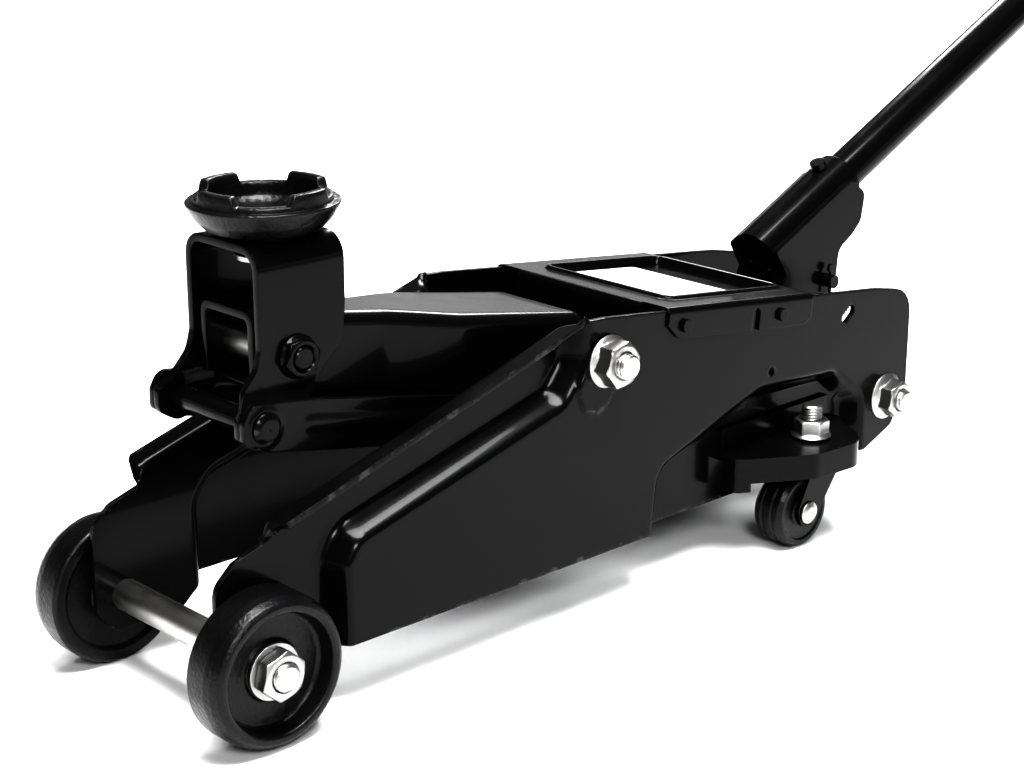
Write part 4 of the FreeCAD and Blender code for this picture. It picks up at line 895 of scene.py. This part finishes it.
# ---- handle ------------------------------------------------------------------------------------
def on_handle(distance, radius, angle):
    """Points at a distance up the handle's axis, a radius from it and an angle round it."""
    ux, uz = math.cos(HANDLE_ANGLE), math.sin(HANDLE_ANGLE)
    across, up = radius * np.cos(angle), radius * np.sin(angle)
    return np.stack([SOCKET_END[0] + ux * distance - uz * up,
                     np.broadcast_to(across, np.broadcast(distance, up).shape),
                     SOCKET_END[1] + uz * distance + ux * up], -1)


def handle_tube(start, end, radius, wall):
    """A round tube along the handle's axis with rolled ends: a stadium profile turned round it."""
    profile = fillet([(start, radius - wall / 2), (start, radius), (end, radius),
                      (end, radius - wall), (start, radius - wall), (start, radius - wall / 2)],
                     0.7, 5)[:-1]
    angle = np.linspace(0, 2 * np.pi, 64, endpoint=False)[:, None]
    return grid(on_handle(profile[None, :, 0], profile[None, :, 1], angle), True, True)


def grip_sleeve(start, end, grooves):
    """The grip: a 15 mm sleeve with rounded grooves at even steps, a swelled collar at its lower
    end and a domed cap."""
    d = np.linspace(start, end, 420)
    t = (d - start) / (end - start)
    wave = np.cos(2 * np.pi * grooves * np.clip((t - 0.16) / 0.66, 0, 1))
    r = 14.55 - 0.55 * smooth(wave * 1.6) * ((t > 0.16) & (t < 0.82))
    r = np.where(t < 0.05, 14.2 + 0.75 * np.sqrt(np.clip(1 - ((t - 0.025) / 0.025) ** 2, 0, 1)), r)
    r = np.minimum(r, 14.9 * np.sqrt(np.clip(1 - ((t - 0.955) / 0.045).clip(0) ** 2, 0, 1)))
    profile_d = np.concatenate([[start, start], d])
    profile_r = np.concatenate([[12.05, 13.4], r])
    angle = np.linspace(0, 2 * np.pi, 56, endpoint=False)[:, None]
    return grid(on_handle(profile_d[None], profile_r[None], angle), True, False)


# ---- operators ---------------------------------------------------------------------------------
class JACK_OT_side_plates(bpy.types.Operator):
    """Pressed side plates with their outward panels and slope flanges"""
    bl_idname = "jack.side_plates"
    bl_label = "Side plates"

    def execute(self, context):
        sizes = context.scene.jack_sizes
        for name, side in SIDES.items():
            solid(f"side_plate_{name}_pressing", "frame", "black_paint",
                  [side_plate_sheet(side, sizes.press_blend / MM)], [f"side_plate_{name}"],
                  outward=(0, side, 0), thickness=PLATE_WALL, bevel=sizes.sheet_edge)
        return {"FINISHED"}


class JACK_OT_cover(bpy.types.Operator):
    """Rear cover with its beaded tray and side flaps"""
    bl_idname = "jack.cover"
    bl_label = "Cover plate"

    def execute(self, context):
        solid("cover_pressing", "frame", "black_paint", [cover_sheet()], ["cover_plate"],
              outward=(0, 0, 1), thickness=COVER_WALL, bevel=0.35 * MM)
        solid("cover_front_wall", "frame", "black_paint", [cover_front()],
              outward=(-1, 0, 0), thickness=COVER_WALL, bevel=0.35 * MM)
        return {"FINISHED"}


class JACK_OT_lift_arm(bpy.types.Operator):
    """Folded lift arm with its shaft tube, inner tie and spring pegs"""
    bl_idname = "jack.lift_arm"
    bl_label = "Lift arm"

    def execute(self, context):
        sizes = context.scene.jack_sizes
        solid("lift_arm_fold", "arm", "black_paint", [arm_sheet()], ["lift_arm"],
              outward=(0, 0, 1), thickness=4.0, bevel=sizes.sheet_edge)
        tube = turned([(8.05, -33), (12.5, -33), (12.5, 33), (8.05, 33)], ARM_PIVOT, "y")
        tie = slab((35, 87), (-16.8, 16.8), (150.2, 154.2), 1.2)
        pegs = [rod(3.5, 31, 50, (235.0, 112.0), "y", 0.6, 32, side)
                for side in SIDES.values()]
        solid("lift_arm_tube", "arm", "black_paint", [tube, tie] + pegs)
        return {"FINISHED"}


class JACK_OT_saddle_bracket(bpy.types.Operator):
    """Folded saddle bracket with its lower ears"""
    bl_idname = "jack.saddle_bracket"
    bl_label = "Saddle bracket"

    def execute(self, context):
        sizes = context.scene.jack_sizes
        solid("saddle_bracket_fold", "yoke", "black_paint", yoke_sheets(), ["yoke"],
              outward=(0, 0, 1), thickness=4.0, bevel=sizes.sheet_edge)
        return {"FINISHED"}


class JACK_OT_saddle(bpy.types.Operator):
    """Cast four-lug saddle"""
    bl_idname = "jack.saddle"
    bl_label = "Saddle"

    def execute(self, context):
        sizes = context.scene.jack_sizes
        solid("saddle_casting", "saddle", "cast_black", saddle_parts(sizes.casting_bumps / MM),
              ["saddle"], sharp=50.0)
        return {"FINISHED"}


class JACK_OT_links(bpy.types.Operator):
    """Ribbed radius links"""
    bl_idname = "jack.links"
    bl_label = "Links"

    def execute(self, context):
        sizes = context.scene.jack_sizes
        for name, side in SIDES.items():
            solid(f"link_{name}_bar", f"link_{name}", "black_paint", [link_sheet(side)],
                  [f"link_{name}"], outward=(0, side, 0), thickness=3.6, bevel=sizes.sheet_edge)
        return {"FINISHED"}


class JACK_OT_wheels(bpy.types.Operator):
    """Cast front wheels and the two caster wheels"""
    bl_idname = "jack.wheels"
    bl_label = "Wheels"

    def execute(self, context):
        skin = context.scene.jack_sizes.casting_bumps / MM
        profile = [(8.05, 55), (14, 55), (15, 57), (29, 57), (31, 55), (36.3, 55), (37.5, 56.5),
                   (37.5, 69), (36.8, 73), (35.2, 76.6), (33.2, 78.2), (30.8, 78.2), (29.6, 77.4),
                   (28.6, 69.6), (27, 68.2), (15, 68.2), (14, 70), (8.05, 70)]
        for name, side in SIDES.items():
            points, quads = turned(profile, AXLE, "y", 1.6, 96, side)
            points = points + bumps(points, skin, 0.9)[:, None] * np.array([0.4, 0.5, 0.4])
            points[:, 2] = np.maximum(points[:, 2], 0.02)
            solid(f"front_wheel_{name}_casting", f"front_wheel_{name}", "cast_black",
                  [(points, quads)], [f"front_wheel_{name}"])
            y = STEM[1]
            tyre = [(4.05, y - 10), (8, y - 10), (9, y - 9), (16.4, y - 9), (17.4, y - 10),
                    (19.4, y - 10), (21.4, y - 7.4), (21.5, y - 4.6), (20.5, y - 3.9),
                    (20.5, y - 3.0), (21.5, y - 2.3), (21.5, y + 2.3), (20.5, y + 3.0),
                    (20.5, y + 3.9), (21.5, y + 4.6), (21.4, y + 7.4), (19.4, y + 10),
                    (17.4, y + 10), (16.4, y + 9), (9, y + 9), (8, y + 10), (4.05, y + 10)]
            solid(f"caster_wheel_{name}_tyre", f"caster_wheel_{name}", "cast_black",
                  [turned(tyre, CASTER_WHEEL, "y", 0.5, 72, side)], [f"caster_wheel_{name}"])
        return {"FINISHED"}


CORE_END = 78.0  # how far out the shafts' threaded cores reach under their nuts


class JACK_OT_fasteners(bpy.types.Operator):
    """Hexagon nuts, washers and threaded ends"""
    bl_idname = "jack.fasteners"
    bl_label = "Nuts and bolts"

    def execute(self, context):
        washers = [turned([(7, 70.4), (14, 70.4), (14, 72.4), (7, 72.4)], AXLE, "y", 0.5, 64, side)
                   for side in SIDES.values()]
        solid("axle_washer_pair", "frame", "zinc", washers, ["axle_washers"])
        for name, node, centre, across, bore, near, far, flange, turn in (
                ("axle_nut_pair", "axle_nuts", AXLE, 22, 6.95, 72.45, 80.5, 0, 18),
                ("lift_shaft_nut_pair", "lift_shaft_nuts", ARM_PIVOT, 22, 6.95, 67.05, 79, 14, 10),
                ("rear_nut_pair", "rear_nuts", REAR_BOLT, 20, 6.25, 65.05, 77, 14, 20)):
            nuts = [hexagon_nut(centre, across, bore, side * near, side * far, flange, turn)
                    for side in SIDES.values()]
            solid(name, "frame", "zinc", nuts, [node], sharp=24)
        stem_nuts, stems = [], []
        for side in SIDES.values():
            stem = (STEM[0], side * STEM[1])
            stem_nuts.append(hexagon_nut(stem, 18, 6.05, 61.0, 71.0, 11.5, 8, "z"))
            stems.append(rod(6, 46, 69.5, stem, "z", 0.3, 48))
            stems.append(rod(9, 45.4, 49.8, stem, "z", 0.8, 48))
            stems.append(threaded_end(stem, 6.0, 69.4, 79.4, 1.75, "z"))
        solid("caster_nut_pair", "frame", "zinc", stem_nuts, ["caster_nuts"], sharp=24)
        solid("caster_stem_pair", "frame", "zinc", stems, ["caster_stems"], sharp=24)
        for name, node, centre, r, start, reach, core, root, end in (
                ("front_axle_bar", "front_axle", AXLE, 8.0, None, 70.4, 6.9, 78.0, 82.9),
                ("lift_shaft_bar", "lift_shaft", ARM_PIVOT, 8.0, None, 67.0, 6.9, 76.0, 83.9),
                ("rear_bolt_studs", "rear_bolt", REAR_BOLT, 7.0, 10.05, 65.0, 6.2, 74.0, 80.9)):
            bars = []
            for side in SIDES.values() if start else (1.0,):
                bars.append(rod(r, start or -reach, reach, centre, "y", 0.5, 64, side))
                bars.append(rod(core, start + 50 if start else -CORE_END, CORE_END, centre, "y",
                                0.1, 48, side))
            tips = [threaded_end(centre, core, side * root, side * end)
                    for side in SIDES.values()]
            solid(name, "frame", "steel", bars + tips, [node], sharp=30)
        for name, side in SIDES.items():
            y = side * STEM[1]
            parts = [rod(4, y - 13.7, y + 13.7,
                            CASTER_WHEEL, "y", 0.3, 40)]
            for a, b in ((y + 13.25, y + 15.8), (y - 13.25, y - 15.8)):
                parts.append(turned([(0, a), (6.6, a), (6.6, (a + b) / 2), (3.6, b), (0, b)],
                                    CASTER_WHEEL, "y", 1.4, 40))
            solid(f"caster_axle_{name}_rivet", f"caster_{name}", "zinc", parts,
                  [f"caster_axle_{name}"])
        return {"FINISHED"}


class JACK_OT_bracket_bolt(bpy.types.Operator):
    """Saddle bracket bolt, nut and lower pin"""
    bl_idname = "jack.bracket_bolt"
    bl_label = "Bracket bolt and pin"

    def execute(self, context):
        head = hexagon_nut(YOKE_BOLT, 18, 0.5, YOKE_Y + 0.4, YOKE_Y + 5.9, 0, 12)
        shank = rod(6, -30, 29, YOKE_BOLT, "y", 0.3, 48)
        solid("bracket_bolt", "arm", "black_paint",
              [head, shank, threaded_end(YOKE_BOLT, 6.0, -29.0, -34.4, 1.75)], ["yoke_bolt"],
              sharp=24)
        solid("bracket_nut", "arm", "black_paint",
              [hexagon_nut(YOKE_BOLT, 18, 6.05, -28.9, -34.1, 10.8, 12)], ["yoke_nut"], sharp=24)
        pin = rod(6, -39.9, 39.9, YOKE_PIN, "y", 0.3, 48)
        heads = [turned([(0, 39.4), (7.8, 39.4), (7.8, 40.2), (5.2, 42.1), (0, 42.2)], YOKE_PIN,
                        "y", 2.0, 48, side) for side in SIDES.values()]
        solid("bracket_pin", "yoke", "black_paint", [pin] + heads, ["yoke_pin"])
        return {"FINISHED"}


class JACK_OT_handle(bpy.types.Operator):
    """Two-piece handle with its grip"""
    bl_idname = "jack.handle"
    bl_label = "Handle"

    def execute(self, context):
        sizes = context.scene.jack_sizes
        joint, end = 84 + 0.48 * 560, 84 + 560
        solid("handle_lower_tube", "handle", "black_paint", [handle_tube(1.5, joint, 12, 2)],
              ["handle_lower"])
        solid("handle_upper_tube", "handle", "black_paint",
              [handle_tube(joint + 0.1, end - 2, 12, 2), handle_tube(joint - 60, joint + 46, 9.95, 2)],
              ["handle_upper"])
        solid("handle_grip_sleeve", "handle", "grip_rubber",
              [grip_sleeve(end - 130, end, sizes.grip_grooves)], ["handle_grip"], sharp=50)
        return {"FINISHED"}


class JACK_OT_finish_nodes(bpy.types.Operator):
    """Finishes for the pieces that keep their engineering shape"""
    bl_idname = "jack.finish_nodes"
    bl_label = "Other finishes"

    def execute(self, context):
        slots = {part["node"]: part["material_slot"] for part in frame["record"]["subparts"]}
        for name, obj in frame["nodes"].items():
            obj.data.materials.clear()
            slot = slots[name]
            obj.data.materials.append(FINISHES["plain_paint" if slot == "black_paint" else slot])
        return {"FINISHED"}


CAMERA_LENS = 73.17  # mm, on a film 36 mm wide
CAMERA_PLACE = (-0.992348, -0.774027, 0.447895)
CAMERA_DIRECTION = (0.652553, 0.694874, -0.302200)
SOFTBOXES = (  # name, place and aim in metres, width in metres, power in watts
    ("overhead_softbox", (-0.4, -0.5, 2.2), (0, 0, 0.1), 1.2, 95.0),
    ("side_softbox", (-1.6, -1.9, 1.6), (0, 0, 0.1), 0.7, 30.0),
    ("rear_softbox", (1.7, 1.5, 1.7), (0, 0, 0.15), 1.0, 40.0))


class JACK_OT_stage(bpy.types.Operator):
    """Pale floor, soft lights and camera"""
    bl_idname = "jack.stage"
    bl_label = "Stage"

    def execute(self, context):
        colours = context.scene.jack_colours
        reach = np.linspace(-14, 14, 3)
        points = np.stack(np.broadcast_arrays(reach[:, None], reach[None], -0.0005), -1)
        vertices, quads = grid(points)
        mesh = bpy.data.meshes.new("studio_floor")
        mesh.from_pydata(vertices.tolist(), [], quads.tolist())
        mesh.update()
        floor = bpy.data.objects.new("studio_floor", mesh)
        context.collection.objects.link(floor)
        floor.data.materials.append(studio_floor(colours.floor))
        if floor.data.polygons[0].normal.z < 0:
            floor.data.flip_normals()
        world = bpy.data.worlds.new("studio_world")
        context.scene.world = world
        world.use_nodes = True
        tree = world.node_tree
        direction = tree.nodes.new("ShaderNodeTexCoord").outputs["Generated"]
        height = tree.nodes.new("ShaderNodeSeparateXYZ")
        tree.links.new(direction, height.inputs[0])
        band = tree.nodes.new("ShaderNodeValToRGB")
        band.color_ramp.interpolation = "EASE"
        stops = band.color_ramp.elements
        stops[0].position, stops[0].color = 0.0, (0.10, 0.10, 0.10, 1)
        stops[1].position, stops[1].color = 0.16, (0.12, 0.12, 0.12, 1)
        stops.new(0.02).color = (1, 1, 1, 1)
        stops.new(0.075).color = (0.9, 0.9, 0.9, 1)
        tree.links.new(height.outputs["Z"], band.inputs["Fac"])
        background = tree.nodes["Background"]
        tree.links.new(band.outputs["Color"], background.inputs["Color"])
        background.inputs["Strength"].default_value = 1.0
        for name, place, aim, size, power in SOFTBOXES:
            data = bpy.data.lights.new(name, "AREA")
            data.shape, data.size, data.energy = "SQUARE", size, power
            light = bpy.data.objects.new(name, data)
            context.collection.objects.link(light)
            aim_at(light, place, np.subtract(aim, place))
        data = bpy.data.cameras.new("camera")
        data.lens, data.sensor_width, data.clip_start = CAMERA_LENS, 36.0, 0.05
        camera = bpy.data.objects.new("camera", data)
        context.collection.objects.link(camera)
        aim_at(camera, CAMERA_PLACE, CAMERA_DIRECTION)
        context.scene.camera = camera
        context.scene.view_settings.view_transform = "Standard"
        context.scene.view_settings.look = "Very High Contrast"
        return {"FINISHED"}


def aim_at(obj, place, direction):
    """The object put at a place, its -Z along a direction and its Y upwards."""
    obj.location = place
    obj.rotation_mode = "QUATERNION"
    obj.rotation_quaternion = Vector(direction).to_track_quat("-Z", "Y")


STEPS = (JACK_OT_finish_nodes, JACK_OT_side_plates, JACK_OT_cover, JACK_OT_lift_arm,
         JACK_OT_saddle_bracket, JACK_OT_saddle, JACK_OT_links, JACK_OT_wheels, JACK_OT_fasteners,
         JACK_OT_bracket_bolt, JACK_OT_handle, JACK_OT_stage)


class JACK_PT_panel(bpy.types.Panel):
    """Sizes, colours and one button for each group of pieces"""
    bl_idname = "JACK_PT_panel"
    bl_label = "Trolley jack"
    bl_space_type = "VIEW_3D"
    bl_region_type = "UI"
    bl_category = "Jack"

    def draw(self, context):
        for group in (context.scene.jack_sizes, context.scene.jack_colours):
            column = self.layout.column()
            for name in group.__annotations__:
                column.prop(group, name)
        for step in STEPS:
            self.layout.operator(step.bl_idname)


CLASSES = (JackSizes, JackColours) + STEPS + (JACK_PT_panel,)


def register():
    """The classes and the settings they keep with the scene."""
    for item in CLASSES:
        bpy.utils.register_class(item)
    bpy.types.Scene.jack_sizes = bpy.props.PointerProperty(type=JackSizes)
    bpy.types.Scene.jack_colours = bpy.props.PointerProperty(type=JackColours)


def unregister():
    """Everything that register() added taken away again."""
    del bpy.types.Scene.jack_sizes, bpy.types.Scene.jack_colours
    for item in reversed(CLASSES):
        bpy.utils.unregister_class(item)


def main():
    """Every step run through its operator."""
    register()
    prepare_finishes(bpy.context.scene.jack_colours)
    for step in STEPS:
        group, name = step.bl_idname.split(".")
        if getattr(getattr(bpy.ops, group), name)() != {"FINISHED"}:
            raise RuntimeError(f"{step.bl_label} did not finish")


if __name__ == "__main__":
    main()
